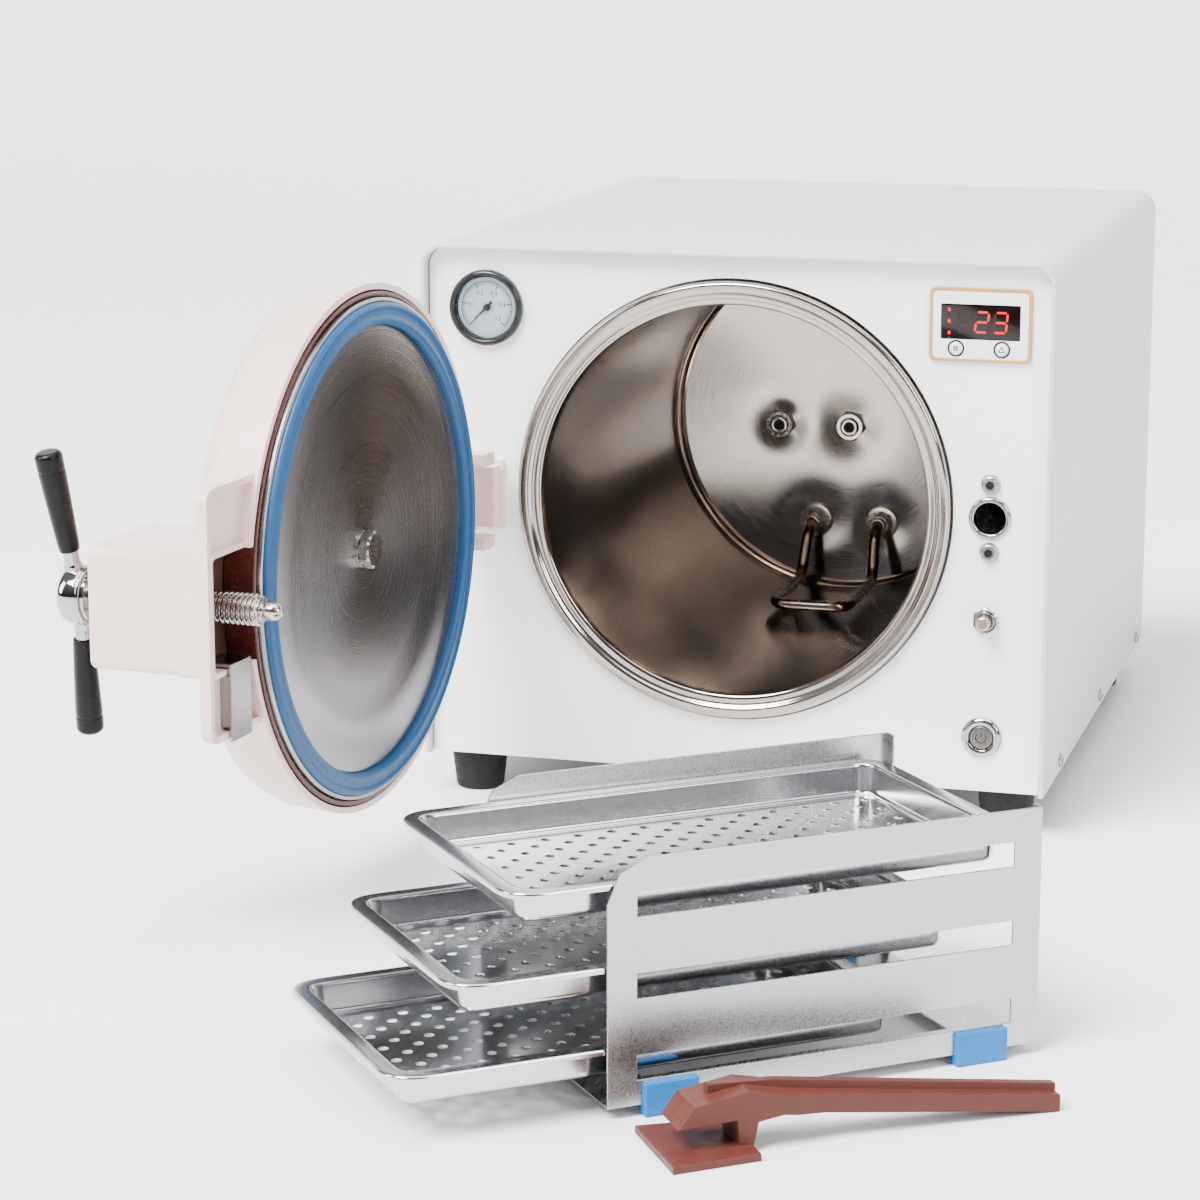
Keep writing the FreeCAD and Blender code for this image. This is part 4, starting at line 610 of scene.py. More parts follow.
NUMBER_RADIUS = 10.2
for step in range(6):
    angle = SWEEP_START + SWEEP * step / 5
    spot = gauge_at + [NUMBER_RADIUS * math.sin(angle), 0, NUMBER_RADIUS * math.cos(angle)]
    shapes.append(lettering("0.%d" % step if step else "0", 3.9, spot, PRINT_DEPTH))
piece("gauge_scale", case, shapes, print_black, "case")
needle_shape = eased([(-0.9, -5.5), (0.9, -5.5), (0.75, 0), (0.16, 15.4), (-0.16, 15.4), (-0.75, 0)],
                     [0.5, 0.5, 0.3, 0.12, 0.12, 0.3], 4)
shapes = [plaque(needle_shape, gauge_at, -1.9, -1.4, SWEEP_START)]
cap_line = eased([(-2.6, 0), (-2.6, 1.6), (-1.0, 2.4), (0.8, 2.4), (0.8, 1.3), (7.2, 1.3), (7.2, 0)],
                 0.4, 4, False)
shapes.append(turned(cap_line, gauge_at, steps=40))
needle_black = grained(finish("needle_black", tone(22, 24, 26), 0.35), 600, tint=0.2, rub=0.06)
piece("gauge_pointer", case, shapes, needle_black, "needle", ["gauge_needle"])
lens_glass = grained(finish("lens_glass", (0.98, 0.99, 1.0), 0.03, Transmission_Weight=1.0, IOR=1.12),
                     40, tint=0.004, rub=0.01)
lens_line = eased([(-4.2, 0), (-4.1, 10), (-3.9, 19.4), (-3.2, 19.4), (-3.2, 0)], 0.3, 4, False)
piece("gauge_glass", case, [turned(lens_line, gauge_at)], lens_glass, "case",
      ["gauge_lens"], 20)

# ---- Display and its two keys -------------------------------------------------------------------
# A white moulded plate with a gold border, a smoked window over red figures, and two white keys.
# The border is hot-stamped gold on a raised edge; the key signs are printed dark grey.
display_at = np.array([362.5, PANEL_FACE, 297.0])
gold_edge = grained(finish("gold_edge", tone(196, 148, 88), 0.32, 0.3), 1600,
                    tint=0.015, rub=0.04)
display_white = grained(finish("display_white", tone(236, 234, 232), 0.32, coat=0.2), 500,
                        tint=0.01, rub=0.05, bump=0.00001, detail=2)
smoked_window = grained(finish("smoked_window", tone(18, 8, 8), 0.12, specular=0.35), 30, tint=0.1,
                        rub=0.02)


def rounded_rect(wide, tall, radius, steps=8):
    """A rectangle's outline with eased corners, centred on zero."""
    x, z = wide / 2, tall / 2
    return eased([(-x, -z), (x, -z), (x, z), (-x, z)], radius, steps)


def lofted(loops, depths, centre):
    """Front-facing outlines carried from depth to depth: one ring of points for each pair."""
    rings = [facing(loop, centre, depth) for loop, depth in zip(loops, depths)]
    return np.concatenate(rings), quads(len(rings), len(loops[0])).tolist()


steps_in = [(0, 0), (0, -2.0), (0.5, -2.6), (1.5, -2.6), (2.2, -2.2), (2.2, 0)]
loops = [rounded_rect(64 - 2 * inset, 46 - 2 * inset, 4.4 - inset * 0.6) for inset, _ in steps_in]
border = lofted(loops + loops[:1], [depth for _, depth in steps_in] + [0], display_at)
piece("display_border", case, [border], gold_edge, "case", ["display_frame"])
WINDOW_WIDE, WINDOW_TALL, WINDOW_RISE, KEY_DROP = 49.6, 22.0, 1.8, 14.8
window_at = display_at + [0, 0, WINDOW_RISE]
plate_loop, window_loop = rounded_rect(59.4, 41.4, 3.0), rounded_rect(WINDOW_WIDE, WINDOW_TALL, 0.8)
window_loop = window_loop + [0, WINDOW_RISE]


def punched(edge, holes):
    """The flat region inside an outline and outside its holes, as points and triangles.

    A triangle is dropped where the angles between a hole's points, seen from its middle, add up
    to a full turn.
    """
    loops = [np.asarray(loop, float) for loop in [edge] + list(holes)]
    starts = np.cumsum([0] + [len(loop) for loop in loops[:-1]])
    edges = [(int(first) + k, int(first) + (k + 1) % len(loop))
             for first, loop in zip(starts, loops) for k in range(len(loop))]
    corners = [Vector(spot) for spot in np.concatenate(loops)]
    found, _, triangles, *_ = delaunay_2d_cdt(corners, edges, [], 0, 1e-5)
    found, triangles = np.array([tuple(spot) for spot in found]), np.array(triangles)
    middle = found[triangles].mean(1)
    clear = np.full(len(triangles), True)
    for loop in loops[1:]:
        here = loop[None] - middle[:, None]
        there = np.roll(here, -1, 1)
        cross = here[..., 0] * there[..., 1] - here[..., 1] * there[..., 0]
        clear &= np.abs(np.arctan2(cross, (here * there).sum(-1)).sum(1)) < math.pi
    return found, triangles[clear]


def sheet(edge, holes, heights, rims):
    """A flat plate between two heights: its two skins, and a wall round each of the rims."""
    found, triangles = punched(edge, holes)
    shapes = [(np.column_stack([found, np.full(len(found), height)]), triangles)
              for height in heights]
    for loop in rims:
        wall = [np.column_stack([loop, np.full(len(loop), height)]) for height in heights]
        shapes.append((np.concatenate(wall), quads(2, len(loop))))
    return with_faces(shapes)


KEY_HOLE, SET_KEY_X, UP_KEY_X = 4.25, -15.0, 13.6
around_hole = np.linspace(0, 2 * math.pi, 48, endpoint=False)
hole_loop = KEY_HOLE * np.stack([np.cos(around_hole), np.sin(around_hole)], 1)
openings = [window_loop] + [hole_loop + [x, -KEY_DROP] for x in (SET_KEY_X, UP_KEY_X)]
points, faces = sheet(plate_loop, openings, (0, -2.0), [plate_loop] + openings)
piece("display_face", case, [(points[:, [0, 2, 1]] + display_at, faces)], display_white, "case",
      ["display_plate"])
inner = [rounded_rect(WINDOW_WIDE - 0.2, WINDOW_TALL - 0.2, 0.8),
         rounded_rect(WINDOW_WIDE - 1.0, WINDOW_TALL - 1.0, 0.8)]
points, faces = lofted([inner[0], inner[0], inner[1]], [0, -1.45, -1.6], window_at)
count = len(inner[0])
faces += [list(range(count)), list(range(2 * count, 3 * count))]
piece("display_glass", case, [(points, faces)], smoked_window, "case",
      ["display_window"])

# seven-segment figures: each segment is a six-sided bar, lit or faintly showing
lit_red = finish("lit_red", tone(180, 10, 8), 0.5, specular=0.2,
                 Emission_Color=(1, 0.004, 0.002, 1), Emission_Strength=0.8)
unlit_red = grained(finish("unlit_red", tone(46, 30, 27), 0.45, specular=0.2), 300, tint=0.1, rub=0.04)
FIGURE_WIDE, FIGURE_TALL, FIGURE_LEAN = 7.6, 12.4, 0.09
FIGURE_FRONT, FIGURE_BACK = -1.68, -1.55
half_w, half_t = FIGURE_WIDE / 2, FIGURE_TALL / 2
SEGMENTS = {"top": (0, half_t, 0), "middle": (0, 0, 0), "low": (0, -half_t, 0),
            "high_left": (-half_w, half_t / 2, 90), "high_right": (half_w, half_t / 2, 90),
            "low_left": (-half_w, -half_t / 2, 90), "low_right": (half_w, -half_t / 2, 90)}
FIGURES = ((-10.2, ()), (0.8, ("top", "high_right", "middle", "low_left", "low")),
           (12.4, ("top", "high_right", "middle", "low_right", "low")))
lit, unlit = [], []
for place, lit_names in FIGURES:
    for name, (x, z, tilt) in SEGMENTS.items():
        half_long = (half_w if tilt == 0 else half_t / 2) - 0.45
        bar_shape = np.array([(-half_long, 0), (0.7 - half_long, -0.72), (half_long - 0.7, -0.72),
                              (half_long, 0), (half_long - 0.7, 0.72), (0.7 - half_long, 0.72)])
        if tilt:
            bar_shape = bar_shape[:, ::-1]
        shape = bar_shape + [x, z]
        shape[:, 0] += shape[:, 1] * FIGURE_LEAN + place
        (lit if name in lit_names else unlit).append(plaque(shape, window_at, FIGURE_FRONT, FIGURE_BACK))
for row_z in (7.4, 0.2, -7.0):
    for marks, mark_z in ((lit, row_z), (unlit, row_z - 3.4)):
        mark = rounded_rect(1.7, 2.2, 0.4, 3) + [-19.6, mark_z]
        marks.append(plaque(mark, window_at, FIGURE_FRONT, FIGURE_BACK))
for name, shapes, look in (("display_figures", lit, lit_red), ("display_ghosts", unlit, unlit_red)):
    piece(name, case, shapes, look, "case")

key_white = grained(finish("key_white", tone(238, 236, 236), 0.28, coat=0.3), 400, tint=0.012,
                    rub=0.05)
sign_grey = grained(finish("sign_grey", tone(16, 15, 18), 0.45, specular=0.2), 600, tint=0.15, rub=0.06)
key_line = eased([(-3.1, 0), (-2.9, 3.0), (-2.3, 4.0), (0.5, 4.0), (0.5, 1.5), (2.9, 1.5), (2.9, 0)],
                 [0, 1.2, 0.5, 0.3, 0.3, 0.3, 0], 5, False)
ring_line = ring_of([(-2.05, 4.3), (-2.35, 4.6), (-2.35, 5.2), (-1.9, 5.4), (-1.9, 4.3)], 0.2, 3)
SIGN_FRONT, SIGN_BACK = -3.16, -2.9
rings = []
for name, node, body, x in (("set_key", "set_button", "set_key", SET_KEY_X),
                            ("up_key", "up_button", "up_key", UP_KEY_X)):
    key_at = display_at + [x, 0, -KEY_DROP]
    piece(name + "_cap", case, [turned(key_line, key_at, steps=48)], key_white, body,
          [node])
    rings.append(turned(ring_line, key_at, steps=48))
    if name == "set_key":
        strokes = [plaque([(-1.7, z - 0.26), (1.7, z - 0.26), (1.7, z + 0.26), (-1.7, z + 0.26)],
                          key_at, SIGN_FRONT, SIGN_BACK, tilt)
                   for tilt in (0.0, math.pi / 2) for z in (-0.8, 0.8)]
    else:
        corner = [(2.1 * math.sin(a), 2.1 * math.cos(a) - 0.3) for a in (0, 2.094, 4.189)]
        strokes = []
        for start, end in zip(corner, corner[1:] + corner[:1]):
            start, end = np.array(start), np.array(end)
            side = np.array([end[1] - start[1], start[0] - end[0]])
            side = side / np.linalg.norm(side) * 0.28
            strokes.append(plaque([start - side, end - side, end + side, start + side], key_at,
                                  SIGN_FRONT, SIGN_BACK))
    piece(name + "_sign", case, strokes, sign_grey, body)
piece("key_rings", case, rings, sign_grey, "case")

# ---- Lock nut, its screws and the door switch ---------------------------------------------------
# A chromed bush in the front panel takes the door's screw; two socket screws hold it to the yoke.
# Below it a spring plunger in a hex nut feels the closed door.
chrome = grained(finish("chrome", tone(170, 168, 168), 0.07, 1.0), 120, tint=0.03, rub=0.03)
thread_steel = grained(finish("thread_steel", tone(168, 164, 160), 0.25, 1.0), 200, tint=0.2, rub=0.1)
lock_at = np.array([371.0, 0.0, 176.0])
nut_line = ring_of([(7.4, 9.7), (6.2, 10.6), (6.2, 12.6), (7.6, 13.6), (8.0, 13.6), (8.2, 11),
                    (54, 11), (54, 9.4), (10, 9.4)],
                   [0.6, 0.6, 0.9, 0.6, 0.2, 0.2, 0.5, 0.5, 0.8])
piece("nut_bush", case, [turned(nut_line, lock_at)], chrome, "case", ["lock_nut"])
PITCH = 3.0
crest = np.arange(12.0, 53.0, 0.25)
thread_radius = 9.33 - 0.9 * (0.5 + 0.5 * np.cos(2 * math.pi * (crest[:, None] / PITCH
                                                                - np.linspace(0, 1, 65)[None])))


def wound(radius, turns, along):
    """A surface round the lock's line: (radius * cos a, along, radius * sin a) at each turn."""
    spots = np.stack([lock_at[0] + radius * np.cos(turns), along + 0 * turns,
                      lock_at[2] + radius * np.sin(turns)], -1)
    return spots.reshape(-1, 3), quads(len(along), turns.size, wrap_columns=False)


nut_thread = wound(thread_radius + 0.85, np.linspace(0, 2 * math.pi, 65)[None], crest[:, None])
piece("nut_thread", case, [nut_thread], thread_steel, "case")
shapes, sockets = [], []
SCREW_SPACING = 43.0
for z in lock_at[2] + np.array([-0.5, 0.5]) * SCREW_SPACING:
    at = (lock_at[0], PANEL_FACE, z)
    shapes.append(turned(eased([(-3.8, 2.5), (-3.8, 4.4), (-3.0, 5.4), (-0.4, 6.4), (0, 6.4),
                                (0, 2.95), (18, 2.95), (18, 0)], [0.3, 0.5, 0.6, 0.4, 0.1, 0.1, 0.3, 0],
                               5, False), at, steps=60))
    # a dark hex inside each screw head: painted shade standing in for the socket
    sockets.append(hexed(5.0, -3.5, -1.0, at, 0.1, 0.0))
    shapes.append(turned(ring_of([(-3.8, 2.45), (-3.8, 2.9), (-1.2, 2.9), (-1.2, 2.45)], 0.1, 3), at,
                         steps=60))
piece("nut_screws", case, shapes, bright_steel, "case", ["lock_nut_screws"])
piece("nut_screw_sockets", case, sockets, painted_shade_dark, "case")
switch_at = np.array([370.0, PANEL_FACE, 111.0])
shapes = [hexed(15, -4, 0, switch_at, 0.7, 4.85)]
shapes.append(turned(ring_of([(-4.8, 4.85), (-4.8, 5.9), (-3.8, 6.2), (16, 6.1), (16, 4.85)], 0.4),
                     switch_at))
piece("switch_collar", case, shapes, chrome, "case", ["switch_nut"], 12)
plunger_line = eased([(-13.7, 0), (-13.7, 3.6), (-12.7, 4.5), (14, 4.5), (14, 0)],
                     [0, 0.9, 0.8, 0.3, 0], 5, False)
plunger_metal = grained(finish("plunger_finish", tone(196, 168, 160), 0.2, 0.9), 300, tint=0.1,
                        rub=0.06)
piece("switch_pin", case, [turned(plunger_line, switch_at, steps=60)], plunger_metal, "door_plunger",
      ["switch_plunger"])

# ---- Power switch -------------------------------------------------------------------------------
# A round stainless push switch: a polished ring, a spun satin button and the engraved power sign.
# The sign is a broken ring and a short line, sunk and dark.
satin_steel = grained(finish("satin_steel", tone(112, 108, 104), 0.3, 1.0), 1, (6, 5200, 1),
                      tint=0.12, rub=0.08, bump=0.000006, on="UV", detail=3)
power_at = np.array([369.0, PANEL_FACE, 35.2])
ring_profile = ring_of([(-2.4, 8.0), (-3.0, 9.4), (-2.9, 11.4), (-1.2, 13), (0, 13), (0, 10.8),
                        (30, 10.8), (30, 8.2), (12, 7.9)], [0.5, 0.8, 1, 0.8, 0.2, 0.2, 0.4, 0.4, 0.4])
piece("power_ring", case, [turned(ring_profile, power_at)], chrome, "case",
      ["power_switch"])
button_line = eased([(-2.2, 0), (-2.25, 4), (-2.2, 7.0), (-1.5, 7.6), (8, 7.6), (8, 0)],
                    [0, 1, 0.6, 0.5, 0.3, 0], 5, False)
piece("power_cap", case, [turned(button_line, power_at)], satin_steel, "power_key",
      ["power_button"], 35, True)
broken_ring = np.linspace(math.radians(38), math.radians(322), 41)
sign = [arc_band(broken_ring, (3.0, 3.55), power_at, -2.32)]
sign.append(plaque([(-0.28, 0.6), (0.28, 0.6), (0.28, 3.7), (-0.28, 3.7)], power_at, -2.34, -2.2))
piece("power_sign", case, sign, sign_grey, "power_key")

# ---- Door shell, liner and beam -----------------------------------------------------------------
# One moulding in a pale pinkish beige: a shallow drum, the tab on its free edge and the lock box.
# A dark brown liner ring closes the gap round the steel plate; the beam inside carries everything.
hinge = joints["door_hinge"]["pos_m"]
outward = joints["lock_feed"]["axis"]
HINGE_X, HINGE_Y = 31.9, -23.8
# the door's points are those of the closed door, measured from the case, and counted from the hinge
door = Place((hinge[0], hinge[1], case.origin[2]), outward[:2], (HINGE_X, HINGE_Y, 0))
merged_copy("door_moulding", "door_shell", shell_plastic, "door", 0.0, 28)
liner_brown = grained(finish("liner_brown", tone(66, 22, 15), 0.25, specular=0.4), 160, tint=0.12,
                      rub=0.05, bump=0.00001)
beam_brown = grained(finish("beam_brown", tone(74, 50, 42), 0.5), 120, tint=0.15, rub=0.1,
                     bump=0.00005)
beam = merged_copy("beam_casting", "door_beam", beam_brown, "door", 0.6)
# the two ears round the hinge pin are painted like the shell
EAR_REACH = 0.03
beam.data.materials.append(shell_plastic)
middles = np.zeros(len(beam.data.polygons) * 3)
beam.data.polygons.foreach_get("center", middles)
from_pin = np.linalg.norm(middles.reshape(-1, 3)[:, :2] - np.array(hinge[:2]), axis=1)
beam.data.polygons.foreach_set("material_index", (from_pin < EAR_REACH).astype(int))
door_centre = (CHAMBER_X, 0, CHAMBER_Z)
liner_line = ring_of([(-3.6, 149.6), (-4.3, 152.7), (-23, 152.5), (-23, 140.7), (-21, 140.7),
                      (-20, 148.6)], [1.4, 0.6, 0.5, 0.5, 0.5, 4])
piece("liner_ring", door, [turned(liner_line, door_centre, steps=220)], liner_brown, "door",
      ["door_liner"])
coated(chrome, "hinge_pin")

# ---- Door plate, seal and centre bolt -----------------------------------------------------------
# A dished stainless plate, faced on the lathe so that fine rings run round it and catch the light.
# A blue silicone ring sits in its groove, and one hex bolt at the centre holds it to the beam.
spun_steel = grained(finish("spun_steel", tone(160, 158, 158), 0.24, 1.0), 1, (0, 2600, 1),
                     tint=0.04, rub=0.05, bump=0.000002, on="UV", detail=4)
lathe_grain(spun_steel, 0.85)
SEAL_FRONT, SEAL_INNER, SEAL_OUTER = 1.6, 133.0, 146.5
PLATE_FACE, GROOVE_FLOOR = SEAL_FRONT - 5, SEAL_FRONT - 7.9
plate_line = ring_of([
    (PLATE_FACE - 5.5, 5.2), (PLATE_FACE - 5.5, 24), (PLATE_FACE - 3.4, 62), (PLATE_FACE - 2.2, 92),
    (PLATE_FACE, 108), (PLATE_FACE, SEAL_INNER - 0.2), (GROOVE_FLOOR, SEAL_INNER - 0.2),
    (GROOVE_FLOOR, SEAL_OUTER + 0.3), (SEAL_FRONT - 3.0, SEAL_OUTER + 0.3),
    (SEAL_FRONT - 3.4, SEAL_OUTER + 2.6), (GROOVE_FLOOR - 4, SEAL_OUTER + 2.6), (GROOVE_FLOOR - 4, 5.2),
], [0.3, 14, 20, 8, 6, 0.5, 0.4, 0.4, 0.5, 0.9, 0.8, 0.3], 8)
piece("spun_plate", door, [turned(plate_line, door_centre, steps=220)], spun_steel, "door",
      ["door_plate"], 30, True)
silicone = grained(finish("silicone_blue", tone(28, 76, 120), 0.42, specular=0.3), 220, tint=0.05,
                   rub=0.08, bump=0.00003)
seal_line = ring_of([
    (SEAL_FRONT - 2.4, SEAL_INNER), (SEAL_FRONT - 0.5, SEAL_INNER + 1.2), (SEAL_FRONT, SEAL_INNER + 2.6),
    (SEAL_FRONT - 0.3, SEAL_INNER + 4.4), (SEAL_FRONT - 1.1, SEAL_INNER + 5.6),
    (SEAL_FRONT - 1.1, SEAL_OUTER - 4.6), (SEAL_FRONT - 0.2, SEAL_OUTER - 3.4),
    (SEAL_FRONT, SEAL_OUTER - 2.2), (SEAL_FRONT - 1.4, SEAL_OUTER), (GROOVE_FLOOR, SEAL_OUTER),
    (GROOVE_FLOOR, SEAL_INNER),
], [0.6, 0.8, 0.8, 0.8, 0.6, 0.6, 0.8, 0.8, 0.9, 0.4, 0.4])
piece("seal_ring", door, [turned(seal_line, door_centre, steps=220)], silicone, "door",
      ["door_seal"])
bolt_seat = PLATE_FACE - 5.5
BEAM_BACK = -34.0
shapes = [hexed(20, bolt_seat + 1.2, bolt_seat + 8, door_centre, 1.2, 0.0, 0.12)]
washer = ring_of([(bolt_seat, 4.9), (bolt_seat, 11.2), (bolt_seat + 1.2, 11.2), (bolt_seat + 1.2, 4.9)],
                 0.3)
shapes.append(turned(washer, door_centre))
shank = eased([(BEAM_BACK - 2, 0), (BEAM_BACK - 2, 4.9), (bolt_seat + 2, 4.9), (bolt_seat + 2, 0)], 0.2,
              3, False)
shapes.append(turned(shank, door_centre, steps=40))
shapes.append(hexed(16, BEAM_BACK - 8, BEAM_BACK, door_centre, 0.9))
piece("centre_bolt", door, shapes, bright_steel, "door", ["plate_bolt"], 12)

# ---- Striker ------------------------------------------------------------------------------------
# A folded stainless tongue below the lock screw; it presses the door switch when the door is shut.
# Bright drawn sheet with slightly rounded folds.
drawn_sheet = grained(finish("drawn_sheet", tone(150, 148, 146), 0.2, 1.0), 90, (1, 1, 20),
                      tint=0.08, rub=0.07, bump=0.00001)
merged_copy("striker_tongue", "striker", drawn_sheet, "door", 0.5)

# ---- Lock screw, bush and T handle --------------------------------------------------------------
# A turned steel screw with a real three millimetre thread and a round nose, in a plated bush.
# The hub and its two necks are chromed; the grips are gloss black mouldings screwed onto the necks.
screw_steel = grained(finish("screw_bright", tone(186, 178, 172), 0.2, 1.0), 300, tint=0.12,
                      rub=0.08, bump=0.00001)
SCREW_RADIUS, THREAD_DEPTH, HUB_FRONT = 9.0, 1.5, -98.4
THREAD_START, THREAD_END = -56.0, 7.6
screw_centre = np.array([lock_at[0], 0.0, lock_at[2]])
turns = np.linspace(0, 2 * math.pi, 61)[None]
along = np.arange(THREAD_START, THREAD_END + 0.01, 0.2)[:, None]
# flank height follows the distance from the helix: a wave in (along / pitch - turn), flattened
wave = np.cos(2 * math.pi * along / PITCH - turns)
flank = np.clip(0.5 + 0.75 * wave, 0, 1)
runout = np.clip((THREAD_END - along) / 2.0, 0, 1) * np.clip((along - THREAD_START) / 2.0, 0, 1)
radius = SCREW_RADIUS - THREAD_DEPTH + THREAD_DEPTH * flank * runout
radius = np.where(along <= THREAD_START + 0.1, SCREW_RADIUS, radius)
nose = eased([(THREAD_END, 7.4), (THREAD_END, 4.8), (THREAD_END + 2.4, 4.8), (THREAD_END + 3.4, 5.5),
              (THREAD_END + 8.2, 5.5), (THREAD_END + 12, 2.6), (THREAD_END + 12, 0)],
             [0, 0.5, 0.5, 0.5, 2, 2, 0], 6, False)
shank = eased([(HUB_FRONT - 9.8, 0), (HUB_FRONT - 9.8, SCREW_RADIUS), (THREAD_START, SCREW_RADIUS)],
              0.3, 4, False)
shapes = [wound(radius, turns, along), turned(nose, screw_centre, steps=60),
          turned(shank, screw_centre, steps=60)]
piece("lock_spindle", door, shapes, screw_steel, "lock_handle", ["lock_screw"], 50)
merged_copy("bush_ring", "lock_bush", chrome, "door", 0.5, 40)
coated(chrome, "thrust_washer")
hub_line = eased([(HUB_FRONT - 16, 0), (HUB_FRONT - 16, 12), (HUB_FRONT - 13.5, 16), (HUB_FRONT - 10, 17),
                  (HUB_FRONT - 3.5, 17), (HUB_FRONT - 2.5, 16.2), (HUB_FRONT - 1.6, 17),
                  (HUB_FRONT, 16.4), (HUB_FRONT, 9.1)],
                 [0, 4, 2.5, 2, 0.4, 0.4, 0.4, 0.8, 0.3], 7, False)
shapes = [turned(hub_line, screw_centre)]
ARM_TURN, ARM_SPLAY = math.radians(12.6), math.radians(4.5)
grips = []
for half_turn in (0.0, math.pi):
    sweep = ARM_TURN + half_turn
    arm = np.array([math.cos(ARM_SPLAY) * math.sin(sweep), -math.sin(ARM_SPLAY),
                    math.cos(ARM_SPLAY) * math.cos(sweep)])
    root = screw_centre + [0, HUB_FRONT - 8, 0]
    neck = eased([(10, 0), (10, 5.6), (17.5, 5.4), (20, 4.5), (34, 4.5), (34, 0)],
                 [0, 0.5, 2, 2, 0.3, 0], 6, False)
    shapes.append(turned(neck, root, arm, 48))
    grip = eased([(27, 4.6), (27, 5.6), (30, 6.1), (52, 7.0), (74, 7.75), (75.2, 7.5), (76.4, 7.8),
                  (84, 7.8), (86, 6.2), (86, 0)], [0, 0.5, 2, 10, 3, 0.5, 0.5, 1.6, 1.4, 0], 7, False)
    grips.append(turned(grip, root, arm, 64))
piece("handle_hub", door, shapes, chrome, "lock_handle", ["lock_hub"])
grip_black = grained(finish("grip_black", tone(4, 4, 5), 0.3, specular=0.18), 200, tint=0.2,
                     rub=0.05, bump=0.000008)
piece("handle_knobs", door, grips, grip_black, "lock_handle", ["handle_grips"])

# ---- Tray rack and clips ------------------------------------------------------------------------
# Folded stainless sheet, drawn lengthwise and left matt, with three slots and rails on each side.
# Four bright blue plastic clips push onto its lower edges to save the chamber's polish.
outward_tray = np.array(joints["top_tray_slide"]["axis"])
rack_low, rack_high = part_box("tray_rack")
rack = Place(((rack_low[0] + rack_high[0]) / 2, (rack_low[1] + rack_high[1]) / 2, 0),
             -outward_tray[:2])
rack_turn = math.atan2(-rack.axes[1][0], rack.axes[1][1])
rack_sheet = grained(finish("rack_sheet", tone(176, 176, 177), 0.28, 1.0), 30, (40, 1, 40),
                     tint=0.05, rub=0.05, turn=(0, 0, -rack_turn))
merged_copy("rack_frame", "tray_rack", rack_sheet, "rack", 0.3, 40)
clip_blue = grained(finish("clip_blue", tone(0, 104, 172), 0.4, specular=0.3), 400, tint=0.05,
                    rub=0.06, bump=0.00002)
merged_copy("edge_clips", "rack_clips", clip_blue, "rack", 1.4, 40)

# ---- Trays --------------------------------------------------------------------------------------
# Three pressed stainless trays with a rounded tub, a flat rolled rim and staggered round holes.
# The sheet is bright and drawn lengthwise; the holes are punched.
TRAY_LONG, TRAY_WIDE, TRAY_DEEP, TRAY_SHEET = 286.0, 161.0, 18.0, 0.8
HOLE_PITCH, HOLE_RADIUS = 19.0, 2.8
RACK_LONG, RAIL_LOW, RAIL_PITCH, RAIL_TO_RIM = 244.0, 32.0, 42.0, 4.0
tray_steel = grained(finish("tray_steel", tone(196, 197, 199), 0.17, 1.0), 40, (26, 1, 26),
                     tint=0.025, rub=0.03, turn=(0, 0, -rack_turn))
FLOOR_Z = 1.5 * TRAY_SHEET - TRAY_DEEP
tub_section = eased([(17.5, FLOOR_Z), (10.6, FLOOR_Z), (9.6, 0.4), (0.4, 0.4), (0.4, -2.4)],
                    [0, 4.5, 1.8, 1.2, 0], 7, False)
# the sheet's two skins stand half its thickness to each side of the section's middle line
run = np.gradient(tub_section, axis=0)
run /= np.linalg.norm(run, axis=1, keepdims=True)
half_sheet = np.stack([run[:, 1], -run[:, 0]], 1) * TRAY_SHEET / 2
rings = []
for inset, height in np.concatenate([tub_section + half_sheet, (tub_section - half_sheet)[::-1]]):
    loop = rounded_rect(TRAY_WIDE - 2 * inset, TRAY_LONG - 2 * inset, max(18.5 - inset, 5.0) * 1.15, 9)
    rings.append(np.column_stack([loop, np.full(len(loop), height)]))
rings = np.array(rings)
hole_angle = np.linspace(0, 2 * math.pi, 14, endpoint=False)
hole_ring = HOLE_RADIUS * np.stack([np.cos(hole_angle), np.sin(hole_angle)], 1)
column, line = np.meshgrid(np.arange(7) - 3.0, np.arange(14) - 6.5)
even = np.stack([column.ravel(), line.ravel()], 1)
column, line = np.meshgrid(np.arange(6) - 2.5, np.arange(13) - 6.0)
hole_centres = HOLE_PITCH * np.concatenate([even, np.stack([column.ravel(), line.ravel()], 1)])
holes = [centre + hole_ring for centre in hole_centres]
floor_heights = (FLOOR_Z + TRAY_SHEET / 2, FLOOR_Z - TRAY_SHEET / 2)
floor_sheet = sheet(rings[0][:, :2], holes, floor_heights, holes)
tub = (rings.reshape(-1, 3), quads(len(rings), rings.shape[1]))
tray_points, tray_faces = with_faces([tub, floor_sheet])
for name, node, level, overhang in (("tray_low", "bottom_tray", 0, 112.0),
                                    ("tray_mid", "middle_tray", 1, 80.0),
                                    ("tray_high", "top_tray", 2, 50.0)):
    height = RAIL_LOW + RAIL_PITCH * level + RAIL_TO_RIM
    shift = TRAY_LONG / 2 - RACK_LONG / 2 - overhang
    piece(name, rack, [(tray_points + [0, shift, height], tray_faces)], tray_steel, node,
          [node], 40)

# ---- Tray handle --------------------------------------------------------------------------------
# A reddish brown phenolic moulding: a flat blade, an upright web with a jaw, and a ribbed stem.
# It hooks over a hot tray's rim; its edges are rounded and slightly worn.
phenolic = grained(finish("phenolic_brown", tone(78, 35, 27), 0.5, specular=0.3), 130, tint=0.10,
                   rub=0.10, bump=0.00004)
merged_copy("tray_lifter", "tray_handle", phenolic, "handle_tool", 0.9, 30)

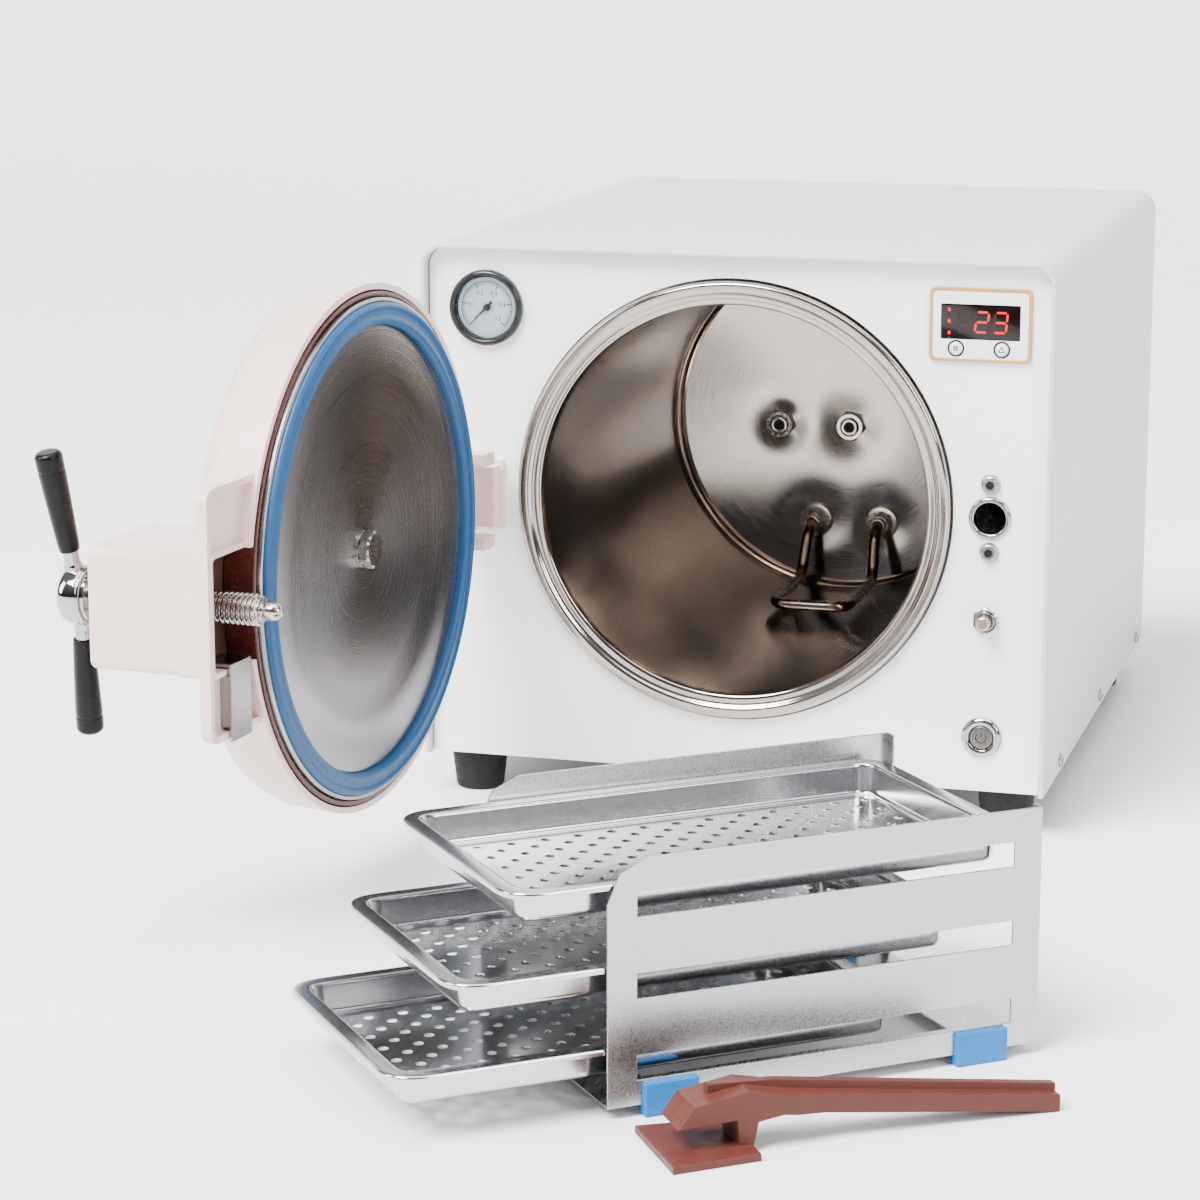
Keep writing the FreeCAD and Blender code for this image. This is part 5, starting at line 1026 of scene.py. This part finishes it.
# ---- Floor, light and camera --------------------------------------------------------------------
# A plain pale floor that sweeps up behind, a wide soft light above and two large side lights.
sweep_line = eased([(-20, 0), (7, 0), (7, 8)], 3.0, 24, False)
sweep_x = np.array([-20.0, 20.0])
sweep = np.stack([np.broadcast_to(sweep_x, (len(sweep_line), 2)),
                  np.repeat(sweep_line[:, :1], 2, 1), np.repeat(sweep_line[:, 1:], 2, 1)], -1)
floor_mesh = bpy.data.meshes.new("floor")
floor_mesh.from_pydata(sweep.reshape(-1, 3).tolist(), [],
                       quads(len(sweep_line), 2, wrap_columns=False)[:, ::-1].tolist())
floor_mesh.shade_smooth()
floor_mesh.materials.append(finish("pale_floor", (0.86, 0.86, 0.87), 0.6, specular=0.2))
floor_object = shown("floor", floor_mesh)
world = bpy.data.worlds.new("studio")
world.use_nodes = True
# the room is dim at eye level and bright overhead, so that metal has something dark to reflect
heading = world.node_tree.nodes.new("ShaderNodeTexCoord")
parts = fed(world.node_tree, "SeparateXYZ", heading.outputs["Generated"], "Vector")
room = fed(world.node_tree, "ValToRGB", parts.outputs["Z"], "Fac")
two_tone(room, 0.06, (0.10, 0.10, 0.11), 0.75, (1.0, 1.0, 1.0))
background = world.node_tree.nodes["Background"]
world.node_tree.links.new(room.outputs["Color"], background.inputs["Color"])
background.inputs["Strength"].default_value = 0.35
bpy.context.scene.world = world
sun = bpy.data.lights.new("wide_sun", "SUN")
sun.energy, sun.angle = 10.0, math.radians(30)
sun_holder = shown("wide_sun", sun)
sun_holder.rotation_euler = Vector((0.30, 0.52, -0.80)).to_track_quat("-Z", "Y").to_euler()


def soft_light(name, place, target, wide, tall, power):
    """A rectangular light at a place, turned to face a target; sizes in metres, power in watts."""
    lamp = bpy.data.lights.new(name, "AREA")
    lamp.shape = "RECTANGLE"
    lamp.size, lamp.size_y, lamp.energy = wide, tall, power
    holder = shown(name, lamp)
    holder.location = place
    holder.rotation_euler = (Vector(target) - Vector(place)).to_track_quat("-Z", "Y").to_euler()


soft_light("top_light", (0.2, -0.5, 2.6), (0, 0.1, 0.2), 2.4, 1.8, 85)
soft_light("left_light", (-2.4, -1.4, 1.3), (-0.1, 0, 0.2), 0.9, 1.6, 60)
soft_light("right_light", (2.4, -1.8, 1.5), (0.1, 0, 0.2), 0.7, 1.5, 64)
camera = bpy.data.cameras.new("camera")
camera.lens, camera.sensor_width = 103.3, 36.0
camera.clip_end = 60.0
viewer = shown("camera", camera)
viewer.location = (0.5249, -2.0242, 0.6139)
YAW, PITCH_DOWN = math.radians(-16.164), math.radians(-12.371)
ahead = Vector((math.sin(YAW) * math.cos(PITCH_DOWN), math.cos(YAW) * math.cos(PITCH_DOWN),
                math.sin(PITCH_DOWN)))
viewer.rotation_euler = ahead.to_track_quat("-Z", "Y").to_euler()
bpy.context.scene.camera = viewer
